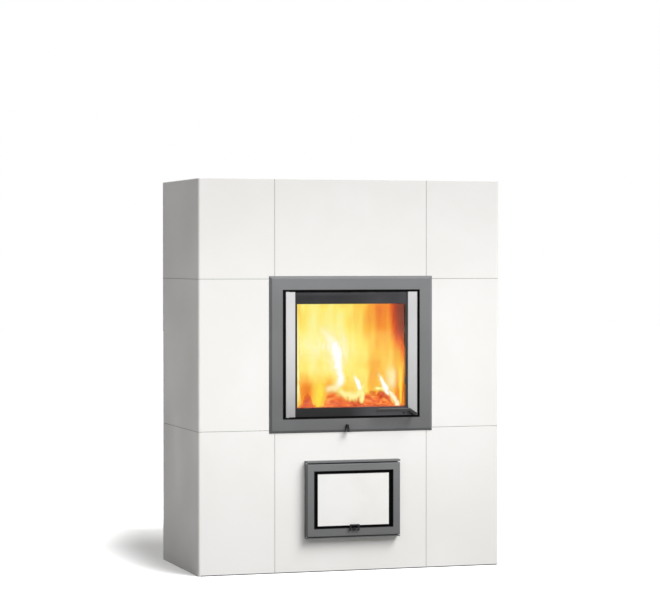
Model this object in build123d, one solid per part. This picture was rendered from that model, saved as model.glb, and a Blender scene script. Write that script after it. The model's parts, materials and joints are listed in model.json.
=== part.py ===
from build123d import *
from math import cos, radians, sin, tan
import os

# All sizes are in millimetres. X runs along the front, Y into the stove, Z up.
# The origin is on the floor, at the middle of the surround's footprint.

# Surround of large ceramic blocks
side_column = 300.5
middle_column = 611.0
bottom_row = 544.5
middle_row = 576.0
top_row = 379.5
depth = 557.0
wall = 50.0
arris_radius = 9.0
joint_chamfer = 1.3
slab_thickness = 40.0
slab_seat = 20.0
slab_gap = 0.5
floor_thickness = 30.0

# Steel plates and screws that tie the blocks together on the inside
tie_size = 60.0
tie_thickness = 4.0
tie_inset = 36.0
tie_screw_radius = 4.0
tie_screw_head = 3.0
tie_screw_length = 25.0
tie_screw_gap = 0.2

# Trim frame round the fire door
trim_margin_side = 31.5
trim_margin_end = 43.0
trim_face = 44.0
trim_bevel = 10.0
trim_rim = 1.5
trim_proud = 8.0
spacer_size = 16.0

# Fire door
door_gap = 7.0
door_proud = 6.0
door_plate = 14.0
side_rail = 48.5
top_rail = 46.0
bottom_rail = 33.5
rail_bevel = 6.0
strip_width = 38.5
strip_inset = 2.5
strip_thickness = 7.0
strip_round = 3.0
glass_thickness = 4.0
glass_setback = 5.0
glass_lap = 8.0
glass_clearance = 1.0
gasket_thickness = 3.0
clip_length = 26.0
clip_thickness = 2.0
land_width = 10.0
land_depth = 8.0
seal_width = 6.0
seal_depth = 8.0
seat_gap = 0.3
rail_screw_radius = 3.5
rail_screw_inset = 56.0
rail_screw_head = 1.5

# Fire door hinge
hinge_inset = 11.0
hinge_setback = 7.0
hinge_radius = 4.0
hinge_depth = 20.0
hinge_plate = 4.0
hinge_plate_width = 22.0
running_clearance = 0.05

# Handle and latch
handle_inset = 22.0
handle_lift = 7.5
handle_angle = 33.0
handle_leg = 29.5
handle_grip = 131.0
handle_height = 12.0
handle_thickness = 10.0
handle_standoff = 32.0
handle_bevel = 2.5
boss_radius = 6.0
boss_clearance = 0.8
spindle_radius = 4.5
hub_radius = 8.5
tongue_gap = 1.3
tongue_thickness = 6.0
tongue_width = 11.0
tongue_length = 24.0
tongue_angle = 35.0
roller_radius = 5.0
roller_along = 18.0
roller_gap = 0.3
roller_length = 10.0
roller_pin_radius = 2.0
keeper_plate = 4.0
keeper_size = 20.0
mitre_rise = 22.0
mitre_run = 28.0

# Firebox
front_plate = 6.0
front_plate_side_gap = 5.5
front_plate_end_gap = 2.5
shell_side_gap = 12.0
shell_rise = 14.0
shell_drop = 5.0
shell_sheet = 4.0
brick = 30.0
floor_brick_height = 25.0
baffle_height = 20.0
baffle_front_gap = 80.0
smoke_height = 31.0
grate_width = 200.0
grate_depth = 110.0
grate_height = 18.0
grate_back = 170.0
grate_slots = 5
grate_slot = 12.0
casing_sheet = 2.0
casing_side_gap = 30.0
casing_back_gap = 40.0
casing_rear_gap = 36.7
casing_skirt = 40.0

# Firewood
log_length = 330.0
log_setback = 75.0
log_radius = 38.0
log_gap = 0.4

# Flue
flue_radius = 75.0
flue_sheet = 3.0
flue_back = 220.0
collar_height = 70.0
bead_height = 4.0
bead_radius = 81.0
bead_up = 25.0
sleeve_gap = 0.3
elbow_sheet = 2.0
elbow_rise = 88.0
elbow_radius = 110.0
elbow_run = 80.0
spigot_overlap = 40.0
spigot_out = 40.0
hole_clearance = 2.0
stop_bead = 1.6
rosette_radius = 105.0
rosette_thickness = 3.0

# Combustion air
air_lever_offset = -21.0
air_lever_up = 26.0
air_lever_top = 6.0
air_lever_bottom = 19.0
air_lever_height = 28.5
air_lever_head = 4.0
air_lever_thickness = 14.0
air_lever_gap = 2.0
air_recess = 4.0
air_spindle_radius = 3.0
air_disc_radius = 34.0
air_disc_thickness = 3.0
air_disc_gap = 6.0
air_port_radius = 7.0
air_port_circle = 22.0
air_ports = 4
air_box_leg_gap = 20.0
air_box_right = 60.0
air_box_height = 175.0
air_box_depth = 78.0
air_box_sheet = 3.0
air_slot_width = 80.0
air_slot_depth = 20.0
air_pipe_radius = 50.0
air_pipe_sheet = 2.0
air_pipe_side = 55.0
air_pipe_up = 55.5
air_pipe_out = 40.0

# Ash
chute_width = 160.0
chute_sheet = 2.0
chute_gap = 12.0
bin_width = 260.0
bin_height = 160.0
bin_rise = 2.0
bin_sheet = 2.0
bin_front = 60.0
bin_grip = 6.0
bin_grip_span = 90.0
bin_grip_out = 24.0

# Steel stand under the firebox
leg = 40.0
leg_inset = 22.0
leg_front = 80.0
rail_height = 30.0
foot_radius = 22.0
foot_height = 6.0
foot_rod_radius = 6.0
foot_travel = 34.0
foot_nut_radius = 10.0
foot_nut_height = 8.0

# Heat storage blocks
storage_width = 200.0
storage_height = 178.0
storage_layers = 6
storage_side_gap = 26.0
storage_front = 100.0
storage_rear_gap = 57.0

# Lower hatch
hatch_width = 375.0
hatch_bottom = 130.0
hatch_height = 296.5
hatch_proud = 34.0
hatch_flange = 3.0
hatch_lip_top = 7.0
hatch_lip_bottom = 3.5
hatch_lip_setback = 2.0
hatch_gap_top = 5.0
hatch_gap_bottom = 3.0
hatch_back_gap = 3.0
hatch_hole_margin = 21.0
hatch_sheet = 3.0
hatch_face = 6.0
hatch_bevel = 3.0
hatch_side = 29.0
hatch_rail_bottom = 31.5
hatch_opening_height = 219.0
hatch_carrier_sheet = 3.0
hatch_recess = 18.0
tile_margin_side = 14.0
tile_margin_bottom = 8.0
tile_height = 201.0
tile_thickness = 12.0
tile_round = 1.5
hatch_hinge_inset = 4.5
hatch_hinge_back = 7.0
hatch_pin_radius = 2.0
hatch_pin_depth = 14.0
hatch_catch_size = 16.0
hatch_catch_length = 40.0
pull_width = 38.0
pull_height = 21.0
pull_bar = 5.0
pull_proud = 12.0
pull_foot_up = 25.0
pull_boss_radius = 6.0
pull_boss_height = 8.0

# Places worked out from the sizes above
width = 2 * side_column + middle_column
height = bottom_row + middle_row + top_row
half_width = width / 2
half_middle = middle_column / 2
front = -depth / 2
cell_top = bottom_row + middle_row
cell_middle = bottom_row + middle_row / 2
rows = {
    "bottom": (0, bottom_row),
    "middle": (bottom_row, cell_top),
    "top": (cell_top, height),
}
sides = {"left": -1, "right": 1}

opening_half = half_middle - trim_margin_side
opening_low = bottom_row + trim_margin_end
opening_high = cell_top - trim_margin_end
door_half = opening_half - door_gap
door_low = opening_low + door_gap
door_high = opening_high - door_gap
window_half = door_half - side_rail
window_low = door_low + bottom_rail
window_high = door_high - top_rail
window_height = window_high - window_low
window_middle = (window_low + window_high) / 2
plate_back = door_plate - door_proud
glass_front = glass_setback - door_proud
glass_back = glass_front + glass_thickness
gasket_back = glass_back + gasket_thickness
pocket_lap = glass_lap + glass_clearance
land_back = plate_back + land_depth
seal_back = land_back + seal_depth
plate_front = seal_back + seat_gap
firebox_front_back = plate_front + front_plate

hinge_x = -door_half + hinge_inset
hinge_t = hinge_setback - door_proud
handle_x = door_half - handle_inset
handle_z = door_low + handle_lift
handle_back = -door_proud - handle_standoff
handle_front = handle_back - handle_thickness
tongue_front = plate_back + tongue_gap
tongue_back = tongue_front + tongue_thickness
tongue_along = (cos(radians(tongue_angle)), sin(radians(tongue_angle)))
roller_rise = tongue_width / 2 + roller_gap + roller_radius
roller_x = handle_x + roller_along * tongue_along[0] - roller_rise * tongue_along[1]
roller_z = handle_z + roller_along * tongue_along[1] + roller_rise * tongue_along[0]

shell_low = door_low + shell_drop
shell_high = door_high + shell_rise
shell_half = opening_half - shell_side_gap
casing_back = depth - wall - casing_rear_gap
shell_back = casing_back - casing_back_gap
brick_half = shell_half - shell_sheet - brick
hearth_low = shell_low + shell_sheet
hearth_high = hearth_low + floor_brick_height
grate_front = firebox_front_back + grate_back
grate_rear = grate_front + grate_depth
side_brick_high = shell_high - shell_sheet - smoke_height - baffle_height
rear_brick_front = shell_back - shell_sheet - brick

flue_t = firebox_front_back + flue_back
collar_high = shell_high + collar_height
bead_high = shell_high + bead_up + bead_height
elbow_inner = flue_radius + sleeve_gap
elbow_outer = elbow_inner + elbow_sheet
elbow_straight_top = bead_high + elbow_rise
flue_exit_z = elbow_straight_top + elbow_radius
elbow_bend_end = flue_t + elbow_radius
elbow_end = elbow_bend_end + elbow_run

air_z = opening_low - trim_face - trim_bevel + air_lever_up
air_disc_front = wall + air_disc_gap
air_disc_rear = air_disc_front + air_disc_thickness
air_box_front = air_disc_rear + seat_gap
air_box_rear = air_box_front + air_box_depth
air_box_low = shell_low - air_box_height
leg_x = shell_half - leg_inset
air_box_left = leg / 2 + air_box_leg_gap - leg_x
air_pipe_x = air_box_left + air_pipe_side
air_pipe_z = air_box_low + air_pipe_up

hatch_half = hatch_width / 2
hatch_high = hatch_bottom + hatch_height
leaf_low = hatch_bottom + hatch_lip_bottom + hatch_gap_bottom
leaf_high = hatch_high - hatch_lip_top - hatch_gap_top
leaf_back = -hatch_flange - hatch_back_gap
leaf_inner_half = hatch_half - hatch_side
leaf_inner_low = leaf_low + hatch_rail_bottom
leaf_inner_high = leaf_inner_low + hatch_opening_height
carrier_front = hatch_recess - hatch_proud
carrier_back = carrier_front + hatch_carrier_sheet
tile_front = carrier_front - tile_thickness
tile_half = leaf_inner_half - tile_margin_side
tile_low = leaf_inner_low + tile_margin_bottom
hatch_hinge_x = -hatch_half + hatch_hinge_inset
hatch_hinge_t = leaf_back - hatch_hinge_back

feet_high = floor_thickness + foot_height + foot_travel
rear_leg = shell_back - leg
bin_level = leaf_inner_low + bin_rise
bin_high = bin_level + bin_height
bin_rear = rear_leg + leg / 4


def into(distance):
    """Y of a plane this far into the stove; a negative distance stands proud of the front."""
    return front + distance


def slab(x, t, z):
    """Box between two X values, two distances into the stove and two heights."""
    size = (x[1] - x[0], t[1] - t[0], z[1] - z[0])
    middle = ((x[0] + x[1]) / 2, into((t[0] + t[1]) / 2), (z[0] + z[1]) / 2)
    return Pos(*middle) * Box(*size)


def upright(t, x=0, z=0):
    """Plane parallel to the front, facing out of the stove."""
    return Plane(origin=(x, into(t), z), x_dir=(1, 0, 0), z_dir=(0, -1, 0))


def rod_y(radius, x, z, t):
    """Round bar along Y between two distances into the stove."""
    return extrude(upright(t[1], x, z) * Circle(radius), t[1] - t[0])


def rod_z(radius, x, t, z):
    """Upright round bar between two heights."""
    return extrude(Plane(origin=(x, into(t), z[0])) * Circle(radius), z[1] - z[0])


def rod_x(radius, x, t, z):
    """Round bar along X between two X values."""
    start = Plane(origin=(x[0], into(t), z), z_dir=(1, 0, 0))
    return extrude(start * Circle(radius), x[1] - x[0])


def pipe_z(outer, inner, x, t, z):
    """Upright pipe between two heights."""
    return rod_z(outer, x, t, z) - rod_z(inner, x, t, (z[0] - 1, z[1] + 1))


def pipe_y(outer, inner, x, z, t):
    """Pipe along Y between two distances into the stove."""
    return rod_y(outer, x, z, t) - rod_y(inner, x, z, (t[0] - 1, t[1] + 1))


def ring(outer, inner, t):
    """Flat rectangular ring; outer and inner are (half width, low, high)."""
    whole = slab((-outer[0], outer[0]), t, (outer[1], outer[2]))
    hole = slab((-inner[0], inner[0]), (t[0] - 1, t[1] + 1), (inner[1], inner[2]))
    return whole - hole


def prism(points, t_back, thickness):
    """Outline of (X, Z) points, extruded out of the stove from t_back."""
    outline = Polyline(*points, close=True)
    return extrude(upright(t_back) * make_face(outline), thickness)


def slab_seat_space():
    """Rebate along the top inner edge of the surround, where the top slab lies."""
    reach = half_width - wall + slab_seat
    return slab(
        (-reach, reach),
        (wall - slab_seat, depth - wall + slab_seat),
        (height - slab_thickness, height + 1),
    )


def corner_block(side, row):
    """L-shaped corner block: a front leg one column wide and a side leg over the whole depth."""
    low, high = rows[row]
    outer = side * half_width
    front_leg = sorted((outer, side * half_middle))
    side_leg = sorted((outer, outer - side * wall))
    block = slab(front_leg, (0, wall), (low, high)) + slab(side_leg, (0, depth), (low, high))
    arris = [
        edge for edge in block.edges().filter_by(Axis.Z)
        if abs(edge.center().X - outer) < 0.01 and abs(edge.center().Y - front) < 0.01
    ]
    block = fillet(arris, arris_radius)
    visible = []
    for group in (block.edges().group_by(Axis.Z)[0], block.edges().group_by(Axis.Z)[-1]):
        for edge in group:
            place = edge.center()
            if place.Y < front + arris_radius or abs(place.X) > half_width - arris_radius:
                visible.append(edge)
    for edge in block.edges().filter_by(Axis.Z):
        place = edge.center()
        if abs(place.X - side * half_middle) < 0.01 and abs(place.Y - front) < 0.01:
            visible.append(edge)
    block = chamfer(visible, joint_chamfer)
    return plug_holes(block) - slab_seat_space()


def front_edges(solid):
    """Edges that lie in the plane of the solid's foremost face."""
    return solid.edges().group_by(Axis.Y)[0]


def front_panel_top():
    """Front block over the fire door."""
    low, high = rows["top"]
    block = slab((-half_middle, half_middle), (0, wall), (low, high))
    block = chamfer(front_edges(block), joint_chamfer)
    return plug_holes(block) - slab_seat_space()


def front_panel_bottom():
    """Front block under the fire door, with the hole of the hatch."""
    low, high = rows["bottom"]
    block = slab((-half_middle, half_middle), (0, wall), (low, high))
    block = chamfer(front_edges(block), joint_chamfer)
    hole_half = hatch_half - hatch_hole_margin
    hole = slab(
        (-hole_half, hole_half),
        (-1, wall + 1),
        (hatch_bottom + hatch_hole_margin, hatch_high - hatch_hole_margin),
    )
    return plug_holes(block) - hole


def rear_panel(row):
    """Rear block between the two side legs, with the pipe hole of its row."""
    reach = half_width - wall
    panel = slab((-reach, reach), (depth - wall, depth), rows[row])
    through = (depth - wall - 1, depth + 1)
    if row == "top":
        panel -= rod_y(flue_radius + hole_clearance, 0, flue_exit_z, through)
        panel -= slab_seat_space()
    if row == "bottom":
        panel -= rod_y(air_pipe_radius + hole_clearance, air_pipe_x, air_pipe_z, through)
    return panel


def top_slab():
    """Top slab, lying in the rebate of the top row."""
    reach = half_width - wall + slab_seat - slab_gap
    return slab(
        (-reach, reach),
        (wall - slab_seat + slab_gap, depth - wall + slab_seat - slab_gap),
        (height - slab_thickness, height),
    )


def floor_slab():
    """Slab on the floor, inside the surround."""
    reach = half_width - wall
    return slab((-reach, reach), (wall, depth - wall), (0, floor_thickness))


def tie_places():
    """Centres (X, Z) of the tie plates, with whether the joint under each is upright."""
    places = []
    for side in sides.values():
        for joint in (bottom_row, cell_top):
            places.append((side * (half_middle + tie_inset), joint, False))
        for row in ("bottom", "top"):
            places.append((side * half_middle, sum(rows[row]) / 2, True))
    return places


def screw_places():
    """Centres (X, Z) of the tie screws: one on each side of the joint under a plate."""
    places = []
    step = tie_size / 4
    for x, z, is_upright in tie_places():
        for sign in (-1, 1):
            places.append((x + sign * step, z) if is_upright else (x, z + sign * step))
    return places


def drill(solid, radius, reach):
    """The solid with a hole at each tie screw."""
    for place in screw_places():
        solid -= rod_y(radius, *place, reach)
    return solid


def block_tie_plates():
    """Flat steel plates across the joints, on the inner face of the front wall."""
    plates = []
    half = tie_size / 2
    reach = (wall, wall + tie_thickness)
    for x, z, _ in tie_places():
        plate = slab((x - half, x + half), reach, (z - half, z + half))
        plates.append(drill(plate, tie_screw_radius + tie_screw_gap, (wall - 1, reach[1] + 1)))
    return Compound(children=plates)


def block_tie_screws():
    """Two screws through each tie plate into the two blocks it joins."""
    screws = []
    head = (wall + tie_thickness, wall + tie_thickness + tie_screw_head)
    for place in screw_places():
        screw = rod_y(2 * tie_screw_radius, *place, head)
        screws.append(screw + rod_y(tie_screw_radius, *place, (wall - tie_screw_length, head[0])))
    return Compound(children=screws)


def plug_holes(block):
    """The block with the blind holes of its tie screws."""
    reach = (wall - tie_screw_length - 1, wall + 1)
    return drill(block, tie_screw_radius + tie_screw_gap, reach)


def trim_frame():
    """Grey frame on the surround, with a bevelled outer edge."""
    outer_half = opening_half + trim_face + trim_bevel
    outer_low = opening_low - trim_face - trim_bevel
    outer_high = opening_high + trim_face + trim_bevel
    rim = slab((-outer_half, outer_half), (-trim_rim, 0), (outer_low, outer_high))
    outer_height = outer_high - outer_low
    base = upright(-trim_rim, 0, cell_middle) * Rectangle(2 * outer_half, outer_height)
    face = upright(-trim_proud, 0, cell_middle) * Rectangle(
        2 * (outer_half - trim_bevel), outer_height - 2 * trim_bevel
    )
    frame = rim + loft([base, face])
    frame -= slab(
        (-opening_half, opening_half), (-trim_proud - 1, 1), (opening_low, opening_high)
    )
    bore = air_spindle_radius + running_clearance
    frame -= rod_y(bore, air_lever_offset, air_z, (-trim_proud - 1, 1))
    return frame


def trim_spacers():
    """Spacer blocks that hold the trim frame on the firebox front."""
    half = spacer_size / 2
    side_x = opening_half + spacer_size
    low = opening_low - spacer_size - half
    high = opening_high + spacer_size
    step = (opening_high - opening_low) / 3
    places = [(side * side_x, cell_middle + n * step) for side in (-1, 1) for n in (-1, 0, 1)]
    places += [(side * opening_half / 2, z) for side in (-1, 1) for z in (low, high)]
    blocks = []
    for x, z in places:
        blocks.append(slab((x - half, x + half), (0, plate_front), (z - half, z + half)))
    return Compound(children=blocks)


def firebox_front():
    """Front plate of the firebox, on which the door closes."""
    lap = pocket_lap + (land_width - seal_width) / 2
    edge = half_middle - front_plate_side_gap
    outer = (edge, bottom_row + front_plate_end_gap, cell_top - front_plate_end_gap)
    inner = (window_half + lap / 2, window_low - lap / 2, window_high + lap / 2)
    plate = ring(outer, inner, (plate_front, firebox_front_back))
    bore = air_spindle_radius + boss_clearance
    return plate - rod_y(bore, air_lever_offset, air_z, (plate_front - 1, firebox_front_back + 1))


def air_slot(z):
    """Slot through which the combustion air rises into the hearth."""
    middle = (air_box_left + air_box_right) / 2
    start = air_box_front + air_box_sheet + 2
    return slab(
        (middle - air_slot_width / 2, middle + air_slot_width / 2),
        (start, start + air_slot_depth),
        z,
    )


def grate_hole(z, margin=0):
    """Space of the grate in the hearth."""
    half = grate_width / 2 - margin
    return slab((-half, half), (grate_front + margin, grate_rear - margin), z)


def firebox_shell():
    """Welded firebox: floor, sides, back and top, open at the front."""
    outer = slab((-shell_half, shell_half), (firebox_front_back, shell_back), (shell_low, shell_high))
    inner = slab(
        (-shell_half + shell_sheet, shell_half - shell_sheet),
        (firebox_front_back - 1, shell_back - shell_sheet),
        (shell_low + shell_sheet, shell_high - shell_sheet),
    )
    shell = outer - inner
    shell -= rod_z(flue_radius - flue_sheet, 0, flue_t, (shell_high - 2 * shell_sheet, shell_high + 1))
    shell -= air_slot((shell_low - 1, shell_low + shell_sheet + 1))
    half = chute_width / 2 - chute_sheet
    shell -= slab(
        (-half, half),
        (grate_front + chute_sheet, grate_rear - chute_sheet),
        (shell_low - 1, shell_low + shell_sheet + 1),
    )
    return shell


def convection_casing():
    """Sheet casing round the firebox; the room air rises between the two."""
    half = shell_half + casing_side_gap
    low = shell_low - casing_skirt
    high = cell_top - front_plate_end_gap
    casing = slab((-half, half), (firebox_front_back, casing_back), (low, high))
    casing -= slab(
        (-half + casing_sheet, half - casing_sheet),
        (firebox_front_back - 1, casing_back - casing_sheet),
        (low - 1, high - casing_sheet),
    )
    hole = rod_z(bead_radius + hole_clearance, 0, flue_t, (high - 2 * casing_sheet, high + 1))
    return casing - hole


def side_bricks():
    """Fire bricks along the two sides of the hearth."""
    bricks = []
    for side in sides.values():
        x = sorted((side * brick_half, side * (brick_half + brick)))
        reach = (firebox_front_back, shell_back - shell_sheet)
        bricks.append(slab(x, reach, (hearth_low, side_brick_high)))
    return Compound(children=bricks)


def rear_brick():
    """Fire brick along the back of the hearth."""
    reach = (rear_brick_front, shell_back - shell_sheet)
    return slab((-brick_half, brick_half), reach, (hearth_low, side_brick_high))


def floor_brick():
    """Hearth floor, with the grate's hole and the air slot."""
    reach = (firebox_front_back, rear_brick_front)
    floor = slab((-brick_half, brick_half), reach, (hearth_low, hearth_high))
    step = hearth_high - grate_height
    floor -= grate_hole((step, hearth_high + 1))
    floor -= grate_hole((hearth_low - 1, step + 1), brick / 2)
    return floor - air_slot((hearth_low - 1, hearth_high + 1))


def grate():
    """Cast grate with a row of slots, lying in the hearth floor."""
    half = grate_width / 2 - slab_gap
    body = slab(
        (-half, half),
        (grate_front + slab_gap, grate_rear - slab_gap),
        (hearth_high - grate_height, hearth_high),
    )
    pitch = grate_width / (grate_slots + 1)
    for number in range(grate_slots):
        x = -grate_width / 2 + pitch * (number + 1)
        body -= slab(
            (x - grate_slot / 2, x + grate_slot / 2),
            (grate_front + brick / 2, grate_rear - brick / 2),
            (hearth_high - grate_height - 1, hearth_high + 1),
        )
    return body


def baffle():
    """Baffle over the fire, lying on the bricks and open towards the door."""
    half = shell_half - shell_sheet - slab_gap
    reach = (firebox_front_back + baffle_front_gap, shell_back - shell_sheet - slab_gap)
    return slab((-half, half), reach, (side_brick_high, side_brick_high + baffle_height))


def split_log(x, t, z, turn, radius, length):
    """Split log lying along X on its flat side, turned about Z."""
    profile = make_face(Polyline(*[
        (-radius, 0), (radius, 0), (0.86 * radius, 0.52 * radius), (0.5 * radius, 0.86 * radius),
        (0, radius), (-0.5 * radius, 0.86 * radius), (-0.86 * radius, 0.52 * radius),
    ], close=True))
    section = Plane(origin=(0, 0, 0), x_dir=(0, 1, 0), z_dir=(1, 0, 0)) * profile
    body = extrude(section, length / 2, both=True)
    return Pos(x, into(t), z) * Rot(0, 0, turn) * body


def firewood_logs():
    """Two logs side by side on the hearth and a third across them."""
    near = firebox_front_back + log_setback
    far = near + 2.5 * log_radius
    upper = hearth_high + log_radius + log_gap
    logs = [
        split_log(-0.4 * log_radius, near, hearth_high, 4, log_radius, log_length),
        split_log(0.3 * log_radius, far, hearth_high, -5, log_radius, log_length),
        split_log(0, (near + far) / 2, upper, 12, 0.9 * log_radius, 0.9 * log_length),
    ]
    return Compound(children=logs)


def flue_collar():
    """Flue collar on the firebox, with the bead on which the elbow stands."""
    tube = pipe_z(flue_radius, flue_radius - flue_sheet, 0, flue_t, (shell_high, collar_high))
    bead = pipe_z(bead_radius, flue_radius - 1, 0, flue_t, (bead_high - bead_height, bead_high))
    return tube + bead


def flue_elbow():
    """Elbow from the collar to the rear: straight pipe, quarter bend, straight pipe."""
    rise = pipe_z(elbow_outer, elbow_inner, 0, flue_t, (bead_high, elbow_straight_top))
    section = Plane(origin=(0, into(flue_t), elbow_straight_top)) * (
        Circle(elbow_outer) - Circle(elbow_inner)
    )
    centre = Axis((0, into(flue_t + elbow_radius), elbow_straight_top), (-1, 0, 0))
    bend = revolve(section, centre, 90)
    run = pipe_y(elbow_outer, elbow_inner, 0, flue_exit_z, (elbow_bend_end, elbow_end))
    return rise + bend + run


def flue_spigot():
    """Straight end of the flue, through the rear block, for the chimney pipe."""
    reach = (elbow_end - spigot_overlap, depth + spigot_out)
    spigot = pipe_y(flue_radius, flue_radius - flue_sheet, 0, flue_exit_z, reach)
    beads = ((elbow_end, bead_radius), (depth + rosette_thickness, flue_radius + stop_bead))
    for start, radius in beads:
        spigot += pipe_y(radius, flue_radius - 1, 0, flue_exit_z, (start, start + bead_height))
    return spigot


def flue_rosette():
    """Cover ring round the spigot, on the back of the stove."""
    inner = flue_radius + stop_bead + seat_gap
    return pipe_y(rosette_radius, inner, 0, flue_exit_z, (depth, depth + rosette_thickness))


def port_places(turn):
    """Centres (X, Z) of the air ports."""
    places = []
    for number in range(air_ports):
        angle = radians(turn + number * 360 / air_ports)
        x = air_lever_offset + air_port_circle * cos(angle)
        places.append((x, air_z + air_port_circle * sin(angle)))
    return places


def air_box():
    """Box that leads the combustion air from the pipe to the hearth, open at the top."""
    box = slab((air_box_left, air_box_right), (air_box_front, air_box_rear), (air_box_low, shell_low))
    box -= slab(
        (air_box_left + air_box_sheet, air_box_right - air_box_sheet),
        (air_box_front + air_box_sheet, air_box_rear - air_box_sheet),
        (air_box_low + air_box_sheet, shell_low + 1),
    )
    for place in port_places(0):
        box -= rod_y(air_port_radius, *place, (air_box_front - 1, air_box_front + air_box_sheet + 1))
    hole = (air_box_rear - air_box_sheet - 1, air_box_rear + 1)
    return box - rod_y(air_pipe_radius - air_pipe_sheet, air_pipe_x, air_pipe_z, hole)


def air_pipe():
    """Pipe from the back of the stove to the air box."""
    inner = air_pipe_radius - air_pipe_sheet
    place = (air_pipe_x, air_pipe_z)
    pipe = pipe_y(air_pipe_radius, inner, *place, (air_box_rear, depth + air_pipe_out))
    bead = (depth, depth + bead_height)
    return pipe + pipe_y(air_pipe_radius + stop_bead, air_pipe_radius - 1, *place, bead)


def air_lever():
    """Air control: a small tapered lever on its spindle, with a hollow in its face."""
    top = air_z + air_lever_head
    low = top - air_lever_height
    x = air_lever_offset
    outline = [
        (x - air_lever_top / 2, top), (x + air_lever_top / 2, top),
        (x + air_lever_bottom / 2, low), (x - air_lever_bottom / 2, low),
    ]
    back_face = -trim_proud - air_lever_gap
    body = prism(outline, back_face, air_lever_thickness)
    hollow = [
        (x, air_z - air_lever_head), (x + air_lever_bottom / 4, low - 1),
        (x - air_lever_bottom / 4, low - 1),
    ]
    body -= prism(hollow, back_face - air_lever_thickness + air_recess, air_recess + 1)
    return body + rod_y(air_spindle_radius, x, air_z, (back_face - 1, air_disc_front))


def air_valve_disc():
    """Valve disc on the spindle's end, turning over the ports of the air box."""
    disc = rod_y(air_disc_radius, air_lever_offset, air_z, (air_disc_front, air_disc_rear))
    for place in port_places(180 / air_ports / 2):
        disc -= rod_y(air_port_radius, *place, (air_disc_front - 1, air_disc_rear + 1))
    return disc


def ash_chute():
    """Duct that drops the ash from the grate into the bin."""
    half = chute_width / 2
    low = bin_high + chute_gap
    duct = slab((-half, half), (grate_front, grate_rear), (low, shell_low))
    return duct - slab(
        (-half + chute_sheet, half - chute_sheet),
        (grate_front + chute_sheet, grate_rear - chute_sheet),
        (low - 1, shell_low + 1),
    )


def ash_bin():
    """Ash bin on the stand's lower rails, behind the hatch, with a grip on its front."""
    half = bin_width / 2
    body = slab((-half, half), (bin_front, bin_rear), (bin_level, bin_high))
    body -= slab(
        (-half + bin_sheet, half - bin_sheet),
        (bin_front + bin_sheet, bin_rear - bin_sheet),
        (bin_level + bin_sheet, bin_high + 1),
    )
    z = (bin_high - bin_height / 4 - bin_grip, bin_high - bin_height / 4)
    span = bin_grip_span / 2
    reach = (bin_front - bin_grip_out, bin_front)
    body += slab((-span, span), (reach[0], reach[0] + bin_grip), z)
    for side in (-1, 1):
        body += slab(sorted((side * span, side * (span - bin_grip))), reach, z)
    return body


def insert_stand():
    """Steel stand: four legs, the rails under the firebox and the rails under the ash bin."""
    half = leg / 2
    parts = []
    for side in sides.values():
        x = (side * leg_x - half, side * leg_x + half)
        for t in (leg_front, rear_leg):
            parts.append(slab(x, (t, t + leg), (feet_high, shell_low)))
        parts.append(slab(x, (leg_front, rear_leg + leg), (shell_low - rail_height, shell_low)))
    for t in (leg_front, rear_leg):
        parts.append(slab((-leg_x, leg_x), (t, t + leg), (bin_level - rail_height, bin_level)))
    parts.append(slab((-leg_x, leg_x), (rear_leg, rear_leg + leg), (shell_low - rail_height, shell_low)))
    stand = parts[0]
    for piece in parts[1:]:
        stand += piece
    return stand


def levelling_feet():
    """Levelling feet under the stand: disc, threaded rod and lock nut."""
    feet = []
    for side in sides.values():
        for t in (leg_front, rear_leg):
            middle = t + leg / 2
            x = side * leg_x
            foot = rod_z(foot_radius, x, middle, (floor_thickness, floor_thickness + foot_height))
            foot += rod_z(foot_rod_radius, x, middle, (floor_thickness, feet_high))
            foot += rod_z(foot_nut_radius, x, middle, (feet_high - foot_nut_height, feet_high))
            feet.append(foot)
    return Compound(children=feet)


def storage_blocks():
    """Stacks of heat storage blocks on both sides of the insert."""
    blocks = []
    outer = half_width - wall - storage_side_gap
    for side in sides.values():
        x = sorted((side * outer, side * (outer - storage_width)))
        for layer in range(storage_layers):
            low = floor_thickness + layer * storage_height
            reach = (storage_front, depth - wall - storage_rear_gap)
            blocks.append(slab(x, reach, (low, low + storage_height)))
    return Compound(children=blocks)


def hinge_bracket_levels():
    """Heights (low, high) of the two hinge brackets, in the gaps under and over the door."""
    spare = (door_gap - hinge_plate) / 2
    return (
        (door_low - spare - hinge_plate, door_low - spare),
        (door_high + spare, door_high + spare + hinge_plate),
    )


def hinge_brackets():
    """Two brackets that carry the door's pins."""
    half = hinge_plate_width / 2
    plates = []
    for level in hinge_bracket_levels():
        reach = (hinge_t - hinge_radius - 1, plate_front)
        plates.append(slab((hinge_x - half, hinge_x + half), reach, level))
    return Compound(children=plates)


def hinge_pins():
    """Door pins, each with a washer between bracket and door."""
    bottom, top = hinge_bracket_levels()
    washer = 2 * hinge_radius
    lower = rod_z(hinge_radius, hinge_x, hinge_t, (bottom[1], door_low + hinge_depth))
    lower += rod_z(washer, hinge_x, hinge_t, (bottom[1], door_low - seat_gap))
    upper = rod_z(hinge_radius, hinge_x, hinge_t, (door_high - hinge_depth, top[0]))
    upper += rod_z(washer, hinge_x, hinge_t, (door_high + seat_gap, top[0]))
    return Compound(children=[lower, upper])


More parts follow.
